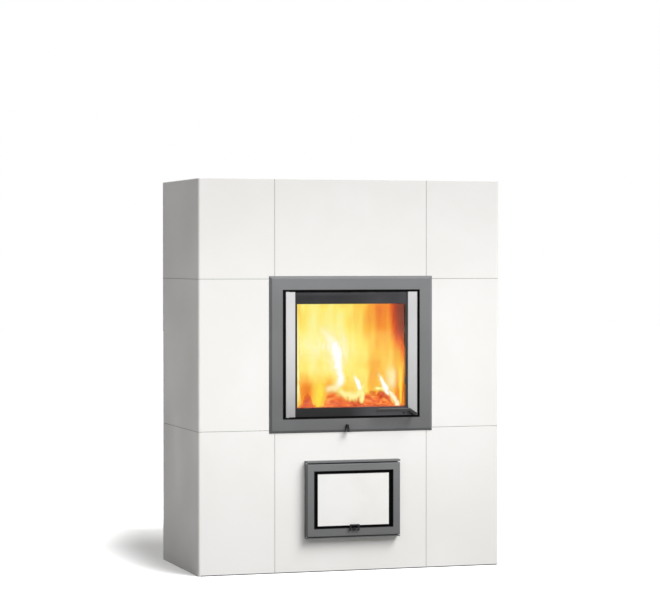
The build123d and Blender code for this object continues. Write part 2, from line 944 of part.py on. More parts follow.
def door_frame():
    """Black cast door frame: window, rebate for the glass and the land of the seal."""
    outer = (door_half, door_low, door_high)
    window = (window_half, window_low, window_high)
    pocket = (window_half + pocket_lap, window_low - pocket_lap, window_high + pocket_lap)
    land = (pocket[0] + land_width, pocket[1] - land_width, pocket[2] + land_width)
    frame = ring(outer, window, (-door_proud, plate_back))
    frame -= slab((-pocket[0], pocket[0]), (glass_front, plate_back + 1), (pocket[1], pocket[2]))
    frame += ring(land, pocket, (plate_back, land_back))
    bore = hinge_radius + running_clearance
    deep = hinge_depth + 1
    frame -= rod_z(bore, hinge_x, hinge_t, (door_low - 1, door_low + deep))
    frame -= rod_z(bore, hinge_x, hinge_t, (door_high - deep, door_high + 1))
    bore = spindle_radius + running_clearance
    frame -= rod_y(bore, handle_x, handle_z, (-door_proud - 1, plate_back + 1))
    reach = door_half - strip_inset - strip_width
    section = Plane.YZ * make_face(Polyline(
        (into(-door_proud) - 1, door_high + 1),
        (into(-door_proud) - 1, door_high - rail_bevel - 1),
        (into(-door_proud) + rail_bevel + 1, door_high + 1),
        close=True,
    ))
    return frame - extrude(section, reach, both=True)


def door_glass():
    """Ceramic glass pane."""
    reach = window_half + glass_lap
    return slab(
        (-reach, reach), (glass_front, glass_back), (window_low - glass_lap, window_high + glass_lap)
    )


def glass_gasket():
    """Fibre gasket behind the edge of the glass."""
    outer = (window_half + glass_lap, window_low - glass_lap, window_high + glass_lap)
    inner = (window_half + 1, window_low - 1, window_high + 1)
    return ring(outer, inner, (glass_back, gasket_back))


def glass_clips():
    """Angle clips on the seal's land that press the gasket and the glass forwards."""
    edge = window_half + pocket_lap
    tip = window_half + 1
    back = land_back - clip_thickness
    half = clip_length / 2
    clips = []
    for side in sides.values():
        for level in (-1, 1):
            z = window_middle + level * window_height / 4
            height_span = (z - half, z + half)
            wall_leg = sorted((side * edge, side * (edge - clip_thickness)))
            foot = sorted((side * edge, side * tip))
            clip = slab(wall_leg, (gasket_back, back), height_span)
            clip += slab(foot, (gasket_back, gasket_back + clip_thickness), height_span)
            clips.append(clip)
    return Compound(children=clips)


def door_strip(side):
    """Aluminium strip down one side of the door, with rounded long edges."""
    outer = door_half - strip_inset
    x = sorted((side * outer, side * (outer - strip_width)))
    strip = slab(x, (-door_proud - strip_thickness, -door_proud), (door_low, door_high))
    edges = [edge for edge in front_edges(strip).filter_by(Axis.Z)]
    strip = fillet(edges, strip_round)
    if side > 0:
        inner = outer - strip_width
        corner = [
            (inner - 1, door_low + mitre_rise + mitre_rise / mitre_run),
            (inner + mitre_run + 1, door_low - mitre_rise / mitre_run),
            (inner - 1, door_low - mitre_rise / mitre_run),
        ]
        strip -= prism(corner, -door_proud + 1, strip_thickness + 2)
        notch = boss_radius + boss_clearance
        reach = (-door_proud - strip_thickness - 1, -door_proud + 1)
        strip -= rod_y(notch, handle_x, handle_z, reach)
    return strip


def door_seal():
    """Rope seal on the door's land, pressed against the firebox front."""
    middle = pocket_lap + land_width / 2
    outer = middle + seal_width / 2
    inner = middle - seal_width / 2
    return ring(
        (window_half + outer, window_low - outer, window_high + outer),
        (window_half + inner, window_low - inner, window_high + inner),
        (land_back, seal_back),
    )


def door_screws():
    """Screws at the two ends of the door's bottom rail."""
    x = door_half - rail_screw_inset
    z = door_low + bottom_rail / 4
    reach = (-door_proud - rail_screw_head, -door_proud)
    return Compound(children=[rod_y(rail_screw_radius, side * x, z, reach) for side in (-1, 1)])


def door_handle():
    """Bent flat bar on a spindle: a level grip, and a leg down to the door's corner."""
    angle = radians(handle_angle)
    bend = (handle_x - handle_leg * cos(angle), handle_z + handle_leg * sin(angle))
    half = handle_height / 2
    inside = half * tan(angle / 2)
    normal = (half * sin(angle), half * cos(angle))
    end = bend[0] - handle_grip
    outline = [
        (end, bend[1] - half / 2), (end + 2 * half, bend[1] + half), (bend[0] + inside, bend[1] + half),
        (handle_x + normal[0], handle_z + normal[1]), (handle_x - normal[0], handle_z - normal[1]),
        (bend[0] - inside, bend[1] - half), (end, bend[1] - half),
    ]
    bar = prism(outline, handle_back, handle_thickness)
    long_edges = [edge for edge in front_edges(bar) if edge.length > 2 * handle_height]
    bar = chamfer(long_edges, handle_bevel)
    bar += rod_y(half, handle_x, handle_z, (handle_front, handle_back))
    shoulder = -door_proud - seat_gap
    handle = bar + rod_y(boss_radius, handle_x, handle_z, (handle_back, shoulder))
    return handle + rod_y(spindle_radius, handle_x, handle_z, (shoulder, tongue_back))


def latch_tongue():
    """Latch tongue on the inner end of the handle's spindle."""
    half = tongue_width / 2
    bar = slab(
        (handle_x, handle_x + tongue_length),
        (tongue_front, tongue_back),
        (handle_z - half, handle_z + half),
    )
    pivot = Axis((handle_x, front, handle_z), (0, -1, 0))
    tongue = bar.rotate(pivot, tongue_angle)
    tongue += rod_y(hub_radius, handle_x, handle_z, (tongue_front, tongue_back))
    return tongue - rod_y(spindle_radius, handle_x, handle_z, (tongue_front - 1, tongue_back + 1))


def latch_keeper():
    """Keeper on the firebox front: a plate with the pin of its roller."""
    half = keeper_size / 2
    plate = slab(
        (roller_x - half, roller_x + half),
        (plate_front - keeper_plate, plate_front),
        (roller_z - half, roller_z + half),
    )
    reach = (tongue_front, plate_front - keeper_plate)
    return plate + rod_y(roller_pin_radius, roller_x, roller_z, reach)


def keeper_roller():
    """Roller of the keeper, under which the tongue turns up."""
    bore = roller_pin_radius + running_clearance
    reach = (tongue_front, tongue_front + roller_length)
    return pipe_y(roller_radius, bore, roller_x, roller_z, reach)


def hatch_frame():
    """Hatch frame on the surround: a flange with a lip over and under the leaf."""
    hole_half = hatch_half - hatch_hole_margin
    frame = ring(
        (hatch_half, hatch_bottom, hatch_high),
        (hole_half, hatch_bottom + hatch_hole_margin, hatch_high - hatch_hole_margin),
        (-hatch_flange, 0),
    )
    x = (-hatch_half, hatch_half)
    frame += slab(x, (-hatch_proud, 0), (hatch_high - hatch_lip_top, hatch_high))
    bottom_reach = (hatch_lip_setback - hatch_proud, 0)
    return frame + slab(x, bottom_reach, (hatch_bottom, hatch_bottom + hatch_lip_bottom))


def hatch_leaf():
    """Grey leaf of the hatch: a pressed ring with folded outer and inner edges."""
    outer = (hatch_half, leaf_low, leaf_high)
    inner = (leaf_inner_half, leaf_inner_low, leaf_inner_high)
    whole = slab((-outer[0], outer[0]), (-hatch_proud, leaf_back), (outer[1], outer[2]))
    whole = chamfer(front_edges(whole), hatch_bevel)
    window = slab((-inner[0], inner[0]), (-hatch_proud - 1, leaf_back + 1), (inner[1], inner[2]))
    leaf = whole - window
    rim = hatch_sheet
    hollow_outer = (outer[0] - rim, outer[1] + rim, outer[2] - rim)
    hollow_inner = (inner[0] + rim, inner[1] - rim, inner[2] + rim)
    leaf -= ring(hollow_outer, hollow_inner, (hatch_face - hatch_proud, leaf_back + 1))
    leaf -= slab(
        (-hollow_inner[0] - 1, hollow_inner[0] + 1),
        (carrier_front, leaf_back + 1),
        (hollow_inner[1] - 1, hollow_inner[2] + 1),
    )
    pin_holes = ((leaf_low, leaf_low + hatch_pin_depth), (leaf_high - hatch_pin_depth, leaf_high))
    x = (-hatch_half + hatch_sheet / 2, -hatch_half + 2 * hatch_hinge_inset)
    reach = (hatch_face - hatch_proud - 1, leaf_back)
    for low, high in pin_holes:
        leaf += slab(x, reach, (low, high))
    bore = hatch_pin_radius + running_clearance
    for low, high in pin_holes:
        leaf -= rod_z(bore, hatch_hinge_x, hatch_hinge_t, (low - 1, high + 1))
    return leaf


def hatch_carrier():
    """Black sheet that closes the leaf and carries the tile."""
    half = leaf_inner_half + hatch_sheet
    return slab(
        (-half, half), (carrier_front, carrier_back),
        (leaf_inner_low - hatch_sheet, leaf_inner_high + hatch_sheet),
    )


def hatch_tile():
    """White ceramic tile in the hatch."""
    tile = slab((-tile_half, tile_half), (tile_front, carrier_front), (tile_low, tile_low + tile_height))
    return fillet(front_edges(tile), tile_round)


def hatch_pull():
    """Small bow on the leaf's bottom rail, and the round boss between its legs."""
    face = -hatch_proud
    z = leaf_low + pull_foot_up
    half = pull_width / 2
    bar = pull_bar / 2
    high = z + pull_height - bar
    low = z - bar
    bow = slab((-half, half), (face - pull_proud, face - pull_proud + pull_bar), (high - bar, high + bar))
    for side in (-1, 1):
        x = sorted((side * half, side * (half - pull_bar)))
        bow += slab(x, (face - pull_proud, face - pull_proud + pull_bar), (low, high))
        bow += slab(x, (face - pull_proud + bar, face), (low, low + pull_bar))
    boss = rod_y(pull_boss_radius, 0, low + pull_bar, (face - pull_boss_height, face))
    return Compound(children=[bow, boss])


def hatch_pins():
    """Hinge pins of the hatch, set in the frame's two lips."""
    low = hatch_bottom + hatch_lip_bottom
    high = hatch_high - hatch_lip_top
    shanks = ((low, leaf_low + hatch_pin_depth), (leaf_high - hatch_pin_depth, high))
    washers = ((low, leaf_low - seat_gap), (leaf_high + seat_gap, high))
    pins = []
    for shank, washer in zip(shanks, washers):
        pin = rod_z(hatch_pin_radius, hatch_hinge_x, hatch_hinge_t, shank)
        pins.append(pin + rod_z(2 * hatch_pin_radius, hatch_hinge_x, hatch_hinge_t, washer))
    return Compound(children=pins)


def hatch_catch():
    """Magnet catch on the frame's flange, behind the leaf's free edge."""
    x = (hatch_half - hatch_sheet - 1 - hatch_catch_size, hatch_half - hatch_sheet - 1)
    middle = (leaf_low + leaf_high) / 2
    half = hatch_catch_length / 2
    reach = (hatch_face - hatch_proud + seat_gap, -hatch_flange)
    return slab(x, reach, (middle - half, middle + half))


def save(name, shape):
    """Write one sub-part."""
    export_step(shape, f"parts/{name}.step")


os.makedirs("parts", exist_ok=True)
for side_name, side_sign in sides.items():
    for row_name in rows:
        save(f"{side_name}_corner_block_{row_name}", corner_block(side_sign, row_name))
    save(f"door_strip_{side_name}", door_strip(side_sign))
for row_name in rows:
    save(f"rear_panel_{row_name}", rear_panel(row_name))
for maker in (
    front_panel_top, front_panel_bottom, top_slab, floor_slab, block_tie_plates, block_tie_screws,
    trim_frame, trim_spacers, firebox_front, firebox_shell, convection_casing, side_bricks,
    rear_brick, floor_brick, grate, baffle, firewood_logs, flue_collar, flue_elbow,
    flue_spigot, flue_rosette, air_box, air_pipe, air_lever, air_valve_disc, ash_chute, ash_bin,
    insert_stand, levelling_feet, storage_blocks, hinge_brackets, hinge_pins, door_frame,
    door_glass, glass_gasket, glass_clips, door_seal, door_screws, door_handle, latch_tongue,
    latch_keeper, keeper_roller, hatch_frame, hatch_leaf, hatch_carrier, hatch_tile, hatch_pull, hatch_pins,
    hatch_catch,
):
    save(maker.__name__, maker())
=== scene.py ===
import json
import math
import random

import bmesh
import bpy
from mathutils import Matrix, Vector, noise


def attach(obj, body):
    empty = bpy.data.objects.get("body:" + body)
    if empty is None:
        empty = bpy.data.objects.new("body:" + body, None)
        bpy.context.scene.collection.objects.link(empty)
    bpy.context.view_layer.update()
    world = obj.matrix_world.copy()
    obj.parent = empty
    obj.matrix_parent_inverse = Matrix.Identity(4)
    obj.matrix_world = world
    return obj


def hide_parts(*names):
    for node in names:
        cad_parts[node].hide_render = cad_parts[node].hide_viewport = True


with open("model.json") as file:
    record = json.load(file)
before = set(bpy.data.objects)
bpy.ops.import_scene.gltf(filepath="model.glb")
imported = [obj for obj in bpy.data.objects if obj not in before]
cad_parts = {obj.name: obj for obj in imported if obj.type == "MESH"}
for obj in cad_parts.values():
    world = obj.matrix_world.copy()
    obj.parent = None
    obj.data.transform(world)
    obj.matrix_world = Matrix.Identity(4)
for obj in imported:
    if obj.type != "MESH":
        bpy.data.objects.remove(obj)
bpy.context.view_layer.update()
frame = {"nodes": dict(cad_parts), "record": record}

scene = bpy.context.scene
nodes = frame["nodes"]
frontFace = -0.2785      # Y of the surround's front, in metres
noise.seed_set(7)        # noise_vector starts from the clock otherwise
print("frame loaded:", len(nodes), "parts")


def at(x, t, z):
    # x, depth behind the front face and height in millimetres
    return Vector((x / 1000, frontFace + t / 1000, z / 1000))


def rgb(red, green, blue):
    levels = [value / 255 for value in (red, green, blue)]
    straight = [v / 12.92 if v <= 0.04045 else ((v + 0.055) / 1.055) ** 2.4 for v in levels]
    return (*straight, 1.0)


# camera, fitted to the photograph

view = {
    "place": (-2.890, -9.156, 1.197),
    "down": 0.968,
    "turn": 17.532,
    "lens": 132.84,
}


def makeCamera():
    data = bpy.data.cameras.new("camera")
    data.lens = view["lens"]
    data.sensor_width = 36
    data.clip_end = 100
    camera = bpy.data.objects.new("camera", data)
    camera.location = view["place"]
    camera.rotation_euler = (math.radians(90 - view["down"]), 0, -math.radians(view["turn"]))
    scene.collection.objects.link(camera)
    scene.camera = camera


makeCamera()


# shader helpers

def feed(tree, value, socket):
    if isinstance(value, bpy.types.NodeSocket):
        tree.links.new(value, socket)
    elif value is not None:
        socket.default_value = value


def wire(tree, node, values):
    for name, value in values.items():
        feed(tree, value, node.inputs[name])
    return node


def put(tree, kind, inputs=None, **settings):
    node = tree.nodes.new(kind)
    for name, value in settings.items():
        setattr(node, name, value)
    return wire(tree, node, inputs or {})


def math2(tree, operation, a, b=None, c=None):
    node = tree.nodes.new("ShaderNodeMath")
    node.operation = operation
    for index, value in enumerate((a, b, c)):
        feed(tree, value, node.inputs[index])
    return node.outputs[0]


def plus(tree, a, b):
    return math2(tree, "ADD", a, b)


def minus(tree, a, b):
    return math2(tree, "SUBTRACT", a, b)


def times(tree, a, b):
    return math2(tree, "MULTIPLY", a, b)


def divide(tree, a, b):
    return math2(tree, "DIVIDE", a, b)


def placeOn(tree):
    # place on the piece, in metres
    return put(tree, "ShaderNodeTexCoord").outputs["Object"]


def axesOf(tree, vector):
    return put(tree, "ShaderNodeSeparateXYZ", {"Vector": vector}).outputs


def facing(tree):
    # direction that the face looks in
    return axesOf(tree, put(tree, "ShaderNodeNewGeometry").outputs["Normal"])


def clouds(tree, place, scale, detail, roughness=0.5, distortion=0.0):
    return put(tree, "ShaderNodeTexNoise", {
        "Vector": place, "Scale": scale, "Detail": detail, "Roughness": roughness,
        "Distortion": distortion}).outputs["Fac"]


def held(tree, value):
    # kept between 0 and 1
    return put(tree, "ShaderNodeClamp", {"Value": value}).outputs[0]


def bump(tree, height, distance):
    return put(tree, "ShaderNodeBump", {"Height": height, "Distance": distance}).outputs["Normal"]


def grey(level):
    return level, level, level, 1


def mixColour(tree, factor, a, b, mode="MIX"):
    node = put(tree, "ShaderNodeMix", data_type="RGBA", blend_type=mode)
    feed(tree, factor, node.inputs[0])
    feed(tree, a, node.inputs[6])
    feed(tree, b, node.inputs[7])
    return node.outputs[2]


def spread(tree, value, low, high, newLow=0.0, newHigh=1.0):
    # a value taken from one range to another, held at its ends
    node = put(tree, "ShaderNodeMapRange", {
        "Value": value, "From Min": low, "From Max": high,
        "To Min": newLow, "To Max": newHigh,
    }, interpolation_type="SMOOTHSTEP")
    return node.outputs["Result"]


def ramp(tree, value, stops):
    node = tree.nodes.new("ShaderNodeValToRGB")
    bands = node.color_ramp.elements
    while len(bands) < len(stops):
        bands.new(0.5)
    for band, (place, colour) in zip(bands, stops):
        band.position = place
        band.color = colour
    feed(tree, value, node.inputs[0])
    return node.outputs[0]


def profile(tree, value, low, high, points):
    # a level that changes along a value: pairs of (value, level) between low and high
    share = divide(tree, minus(tree, value, low), high - low)
    return ramp(tree, share, [((place - low) / (high - low), grey(level))
                              for place, level in points])


def newGroup(name, inputs, outputs, family="ShaderNodeTree"):
    # inputs are (label, kind, value), outputs (label, kind)
    group = bpy.data.node_groups.new(name, family)
    sides = [("INPUT", row) for row in inputs] + [("OUTPUT", row) for row in outputs]
    for side, (label, kind, *value) in sides:
        socket = group.interface.new_socket(label, in_out=side, socket_type="NodeSocket" + kind)
        if value:
            socket.default_value = value[0]
    return group, group.nodes.new("NodeGroupInput").outputs


def endGroup(group, outputs):
    put(group, "NodeGroupOutput", outputs)
    return group


def useGroup(tree, group, **inputs):
    return put(tree, "ShaderNodeGroup", inputs, node_tree=group).outputs


# effects that several finishes share

def makeGrain():
    # fine texture, stretched along an axis for brushing or rolling
    group, given = newGroup("surface grain", [
        ("Size", "Float", 0.004), ("Stretch", "Vector", (1, 1, 1)), ("Detail", "Float", 4.0),
    ], [("Height", "Float"), ("Patches", "Float")])
    place = placeOn(group)
    pulled = put(group, "ShaderNodeVectorMath", operation="MULTIPLY")
    feed(group, place, pulled.inputs[0])
    feed(group, given["Stretch"], pulled.inputs[1])
    density = divide(group, 1.0, given["Size"])
    return endGroup(group, {
        "Height": clouds(group, pulled.outputs[0], density, given["Detail"], 0.6),
        "Patches": clouds(group, place, divide(group, density, 22.0), 2.0)})


def makeTone():
    # slow drift of a colour between two tones, with a little speckle
    group, given = newGroup("tone drift", [
        ("Color", "Color", grey(0.5)), ("Second", "Color", grey(0.4)),
        ("Size", "Float", 0.15), ("Speckle", "Float", 0.2),
    ], [("Color", "Color")])
    place = placeOn(group)
    density = divide(group, 1.0, given["Size"])
    drift = spread(group, clouds(group, place, density, 3.0, distortion=0.4), 0.3, 0.7)
    specks = clouds(group, place, times(group, density, 60.0), 2.0)
    speck = math2(group, "MULTIPLY_ADD", specks, given["Speckle"],
                  times(group, given["Speckle"], -0.5))
    mask = held(group, plus(group, drift, speck))
    return endGroup(group, {"Color": mixColour(group, mask, given["Color"], given["Second"])})


def makeDust():
    # pale dust that settles on faces turned upwards
    group, given = newGroup("settled dust", [
        ("Color", "Color", grey(0.5)), ("Dust", "Color", rgb(176, 170, 160)),
        ("Amount", "Float", 0.2),
    ], [("Color", "Color")])
    top = spread(group, facing(group)["Z"], 0.4, 0.95)
    broken = spread(group, clouds(group, placeOn(group), 28.0, 5.0), 0.35, 0.7)
    mask = times(group, times(group, top, broken), given["Amount"])
    return endGroup(group, {"Color": mixColour(group, mask, given["Color"], given["Dust"])})


def makePinholes():
    # small open pores, as in cast concrete and fire brick
    group, given = newGroup("pinholes", [("Size", "Float", 0.01), ("Share", "Float", 0.4)],
                            [("Mask", "Float")])
    cells = put(group, "ShaderNodeTexVoronoi", {
        "Vector": placeOn(group), "Scale": divide(group, 1.0, given["Size"])})
    pick = put(group, "ShaderNodeSeparateColor", {"Color": cells.outputs["Color"]})
    chosen = math2(group, "LESS_THAN", pick.outputs["Red"], given["Share"])
    reach = math2(group, "MULTIPLY_ADD", pick.outputs["Green"], 0.14, 0.06)
    poreShade = spread(group, minus(group, cells.outputs["Distance"], reach), -0.02, 0.03, 1.0, 0.0)
    return endGroup(group, {"Mask": times(group, poreShade, chosen)})


surfaceGrain = makeGrain()
toneDrift = makeTone()
settledDust = makeDust()
pinholes = makePinholes()


def newMaterial(name):
    material = bpy.data.materials.new(name)
    material.use_nodes = True
    tree = material.node_tree
    return material, tree, tree.nodes["Principled BSDF"]


levelSpan = (0.0, 1.2)   # heights that the lists of levels cover


def makeFinish(name, look):
    # a plain finish: drifting colour, uneven gloss, grain and settled dust, and where the look asks
    # for it painted light and shade
    material, tree, shader = newMaterial(name)
    grain = useGroup(tree, surfaceGrain, Size=look["grain"],
                     Stretch=look.get("stretch", (1, 1, 1)), Detail=look.get("detail", 4.0))
    tone = useGroup(tree, toneDrift, Color=look["colour"], Second=look["second"],
                    Size=look.get("drift", 0.15), Speckle=look.get("speckle", 0.25))
    dusty = useGroup(tree, settledDust, Color=tone["Color"], Amount=look.get("dust", 0.0))
    colour = dusty["Color"]
    if "feet" in look:
        # painted light and shade: lighter or darker by height, with levels of its own at the right
        axes = axesOf(tree, placeOn(tree))
        paintedShading = profile(tree, axes["Z"], *levelSpan, look["feet"])
        if "right" in look:
            near, far, levels = look["right"]
            paintedShading = mixColour(tree, spread(tree, axes["X"], near, far), paintedShading,
                              profile(tree, axes["Z"], *levelSpan, levels))
        colour = mixColour(tree, 1.0, colour, paintedShading, "MULTIPLY")
    if "paintedLeftShade" in look:
        # painted shade: the sides turned to the left, away from the window, are made darker
        turned = spread(tree, facing(tree)["X"], -0.65, -0.3, 1.0, 0.0)
        paintedLeftDark = mixColour(tree, 1.0, colour, grey(look["paintedLeftShade"]), "MULTIPLY")
        colour = mixColour(tree, turned, colour, paintedLeftDark)
    if "rim" in look:
        # painted shadow: a dark line along a box on the front, inside or outside its sides,
        # standing in for a deeper shadow gap
        half, low, high, *edges = look["rim"]
        axes = axesOf(tree, placeOn(tree))
        beyond = minus(tree, math2(tree, "ABSOLUTE", axes["X"]), half)
        for gap in (minus(tree, low, axes["Z"]), minus(tree, axes["Z"], high)):
            beyond = math2(tree, "MAXIMUM", beyond, gap)
        colour = mixColour(tree, spread(tree, beyond, *edges), colour, rgb(12, 12, 13))
    relief = grain["Height"]
    if "pores" in look:
        pits = useGroup(tree, pinholes, Size=look["pores"], Share=look["poreShare"])["Mask"]
        # pores take a darker colour: painted shade inside the pits
        colour = mixColour(tree, times(tree, pits, 0.7), colour, look["poreShade"])
        relief = minus(tree, relief, times(tree, pits, 1.5))
    gloss = plus(tree, times(tree, grain["Height"], 0.35), times(tree, grain["Patches"], 0.65))
    wire(tree, shader, {
        "Base Color": colour, "Roughness": spread(tree, gloss, 0.3, 0.7, *look["roughness"]),
        "Metallic": look.get("metal", 0.0), "Specular IOR Level": look.get("specular", 0.5),
        "Coat Weight": look.get("coat", 0.0), "Coat Roughness": 0.12,
        "Normal": bump(tree, relief, look["bump"])})
    return material


finishes = {
    "white_glaze": {
        "colour": rgb(240, 239, 237), "second": rgb(236, 235, 232), "drift": 0.35,
        "roughness": (0.52, 0.66), "grain": 0.012, "bump": 0.00012, "specular": 0.3,
        "dust": 0.02, "speckle": 0.2,
    },
    "concrete": {
        "colour": rgb(192, 189, 183), "second": rgb(180, 176, 170), "drift": 0.3,
        "roughness": (0.75, 0.95), "grain": 0.006, "bump": 0.0008, "detail": 8.0, "dust": 0.1,
        # poreShade: painted shade inside the pores
        "speckle": 0.8, "pores": 0.014, "poreShare": 0.3, "poreShade": rgb(104, 101, 96),
    },
    "grey_enamel": {
        "colour": rgb(129, 130, 131), "second": rgb(123, 124, 125), "drift": 0.25,
        "roughness": (0.6, 0.68), "grain": 0.0016, "bump": 0.00006, "dust": 0.02,
        "speckle": 0.35, "specular": 0.25,
        # painted shade: darker towards the foot of each frame, and on faces turned to the left
        "feet": [(0.13, 0.67), (0.427, 0.88), (0.533, 0.65), (1.132, 1.0)],
        "paintedLeftShade": 0.7,
    },
    "black_cast": {
        "colour": rgb(42, 42, 44), "second": rgb(36, 36, 38), "drift": 0.12,
        "roughness": (0.46, 0.6), "grain": 0.0022, "bump": 0.00016, "dust": 0.04,
        "speckle": 0.5, "specular": 0.22,
        # painted shade low on the door frame, a painted highlight band along the top rail, and
        # painted sheen towards the right
        "feet": [(0.59, 0.3), (0.612, 0.34), (0.64, 0.58), (1.03, 0.92), (1.057, 0.95), (1.06, 1.7),
                 (1.067, 1.7), (1.0695, 1.2)],
        "right": (-0.03, 0.12, [(0.62, 2.8), (0.64, 1.95)]),
    },
    "handle_black": {
        "colour": rgb(66, 66, 68), "second": rgb(58, 58, 60), "drift": 0.04,
        "roughness": (0.34, 0.46), "grain": 0.0016, "bump": 0.00005, "dust": 0.03,
        "speckle": 0.4, "specular": 0.32, "coat": 0.06,
        # painted shade on the lower half of the handle bar, painted highlight above it
        "feet": [(0.6185, 0.2), (0.6205, 1.4)],
    },
    "lever_black": {
        "colour": rgb(66, 66, 68), "second": rgb(60, 60, 62), "drift": 0.04,
        "roughness": (0.5, 0.62), "grain": 0.0016, "bump": 0.00005,
        "speckle": 0.4, "specular": 0.1,
        # painted light and shade: the lever's face lighter low down, darker at its top
        "feet": [(0.531, 1.3), (0.543, 1.15), (0.551, 0.45), (0.556, 0.25)],
    },
    # a darker copy of black for the hatch carrier: painted shade, so the gap round the leaf reads
    # deep
    "carrier_shadow_black": {
        "colour": rgb(9, 9, 10), "second": rgb(7, 7, 8), "drift": 0.08,
        "roughness": (0.6, 0.75), "grain": 0.0016, "bump": 0.00008,
        "speckle": 0.4, "specular": 0.1,
    },
    "black_sheet": {
        "colour": rgb(26, 26, 27), "second": rgb(20, 20, 21), "drift": 0.14,
        "roughness": (0.6, 0.75), "grain": 0.0014, "bump": 0.00008, "dust": 0.06,
        "speckle": 0.4, "specular": 0.25,
    },
    "aluminium": {
        "colour": rgb(194, 193, 193), "second": rgb(187, 186, 187), "drift": 0.3,
        "roughness": (0.3, 0.42), "grain": 0.0012, "stretch": (1, 1, 0.03),
        "bump": 0.00005, "metal": 1.0, "speckle": 0.3,
        # painted reflection: darker towards the foot; a painted shadow line along the inner edge
        "feet": [(0.594, 0.53), (0.7, 0.74), (0.85, 0.94), (1.07, 1.0)],
        "rim": (0.226, 0.0, 1.5, 0.0016, 0.0026, 1.0, 0.0),
    },
    # a duller copy of aluminium for the right strip: painted shade of a darker reflection
    "aluminium_shaded": {
        "colour": rgb(189, 188, 188), "second": rgb(181, 180, 181), "drift": 0.3,
        "roughness": (0.34, 0.46), "grain": 0.0012, "stretch": (1, 1, 0.03),
        "bump": 0.00005, "metal": 1.0, "speckle": 0.3,
        "feet": [(0.594, 0.64), (0.7, 0.77), (0.85, 0.87), (1.07, 1.0)],
    },
    "steel": {
        "colour": rgb(176, 176, 178), "second": rgb(150, 150, 152), "drift": 0.02,
        "roughness": (0.25, 0.4), "grain": 0.0008, "bump": 0.00003, "metal": 1.0,
        "dust": 0.02,
    },
    "zinc": {
        "colour": rgb(166, 168, 172), "second": rgb(150, 153, 158), "drift": 0.03,
        "roughness": (0.35, 0.5), "grain": 0.001, "bump": 0.00003, "metal": 1.0,
        "dust": 0.04,
    },
    "galvanised": {
        "colour": rgb(158, 161, 165), "second": rgb(136, 140, 145), "drift": 0.03,
        "roughness": (0.35, 0.6), "grain": 0.009, "bump": 0.00005, "metal": 1.0,
        "dust": 0.08, "speckle": 0.6,
    },
    "flue_steel": {
        "colour": rgb(74, 74, 77), "second": rgb(60, 60, 62), "drift": 0.1,
        "roughness": (0.5, 0.65), "grain": 0.0012, "bump": 0.00006, "dust": 0.15,
    },
    "hatch_white": {
        "colour": rgb(238, 237, 235), "second": rgb(234, 233, 230), "drift": 0.12,
        "roughness": (0.36, 0.48), "grain": 0.01, "bump": 0.0001, "dust": 0.02,
        "speckle": 0.2,
    },
    "joint_compound": {
        "colour": rgb(150, 148, 145), "second": rgb(136, 134, 130), "drift": 0.1,
        "roughness": (0.8, 0.95), "grain": 0.002, "bump": 0.0001, "specular": 0.1,
    },
    # painted contact shadow under the blocks
    "contact_shadow_strip": {
        "colour": rgb(66, 65, 64), "second": rgb(54, 53, 52), "drift": 0.1,
        "roughness": (0.85, 1.0), "grain": 0.002, "bump": 0.0001, "specular": 0.1,
    },
    "rope": {
        "colour": rgb(150, 146, 138), "second": rgb(112, 108, 102), "drift": 0.03,
        "roughness": (0.85, 1.0), "grain": 0.0016, "bump": 0.0006, "speckle": 0.8,
    },
}
# painted shadow lines along the edges of the two openings and round the tile, widening their shadow
# gaps: half width, low, high, edge
finishes["trim_enamel"] = {**finishes["grey_enamel"],
                           "rim": (0.274, 0.5875, 1.0775, 0.0018, 0.0023, 1.0, 0.0)}
finishes["leaf_enamel"] = {**finishes["grey_enamel"],
                           "rim": (0.1585, 0.168, 0.387, 0.0009, 0.0015, 1.0, 0.0)}
finishes["tile_white"] = {**finishes["hatch_white"],
                          "rim": (0.1445, 0.176, 0.377, -0.0019, -0.0015, 0.0, 1.0)}
materials = {name: makeFinish(name, look) for name, look in finishes.items()}


# fire bricks, with the fire's light on them painted in as glow

brickLook = {
    "colour": rgb(84, 38, 28), "second": rgb(104, 54, 38), "grain": 0.004, "pores": 0.009,
    # painted firelight: the glow of the faces by height over the grate stands in for the fire's
    # light on them
    "glow": [(0.02, rgb(214, 88, 26)), (0.18, rgb(208, 82, 28)), (0.27, rgb(182, 60, 24)),
             (0.35, rgb(112, 34, 20)), (0.44, rgb(92, 28, 16))],
    "grate": 0.6, "firelightStrength": 0.8, "relief": 0.0012,
}


def makeBrick():
    material, tree, shader = newMaterial("chamotte")
    grain = useGroup(tree, surfaceGrain, Size=brickLook["grain"], Detail=7.0)
    pits = useGroup(tree, pinholes, Size=brickLook["pores"], Share=0.5)["Mask"]
    tone = useGroup(tree, toneDrift, Color=brickLook["colour"], Second=brickLook["second"],
                    Size=0.12, Speckle=0.6)
    height = minus(tree, axesOf(tree, placeOn(tree))["Z"], brickLook["grate"])
    glow = ramp(tree, height, brickLook["glow"])
    sooty = spread(tree, grain["Patches"], 0.25, 0.75, 0.3, 0.0)
    # pores darkened: painted shade in the pits; the emission is painted firelight, dimmed where
    # soot lies
    wire(tree, shader, {
        "Base Color": mixColour(tree, times(tree, pits, 0.8), tone["Color"], rgb(30, 14, 10)),
        "Roughness": spread(tree, grain["Patches"], 0.3, 0.7, 0.82, 0.98),
        "Emission Color": mixColour(tree, sooty, glow, rgb(60, 16, 8)),
        "Emission Strength": brickLook["firelightStrength"],
        "Normal": bump(tree, minus(tree, grain["Height"], pits), brickLook["relief"])})
    return material


materials["chamotte"] = makeBrick()


# clear ceramic glass

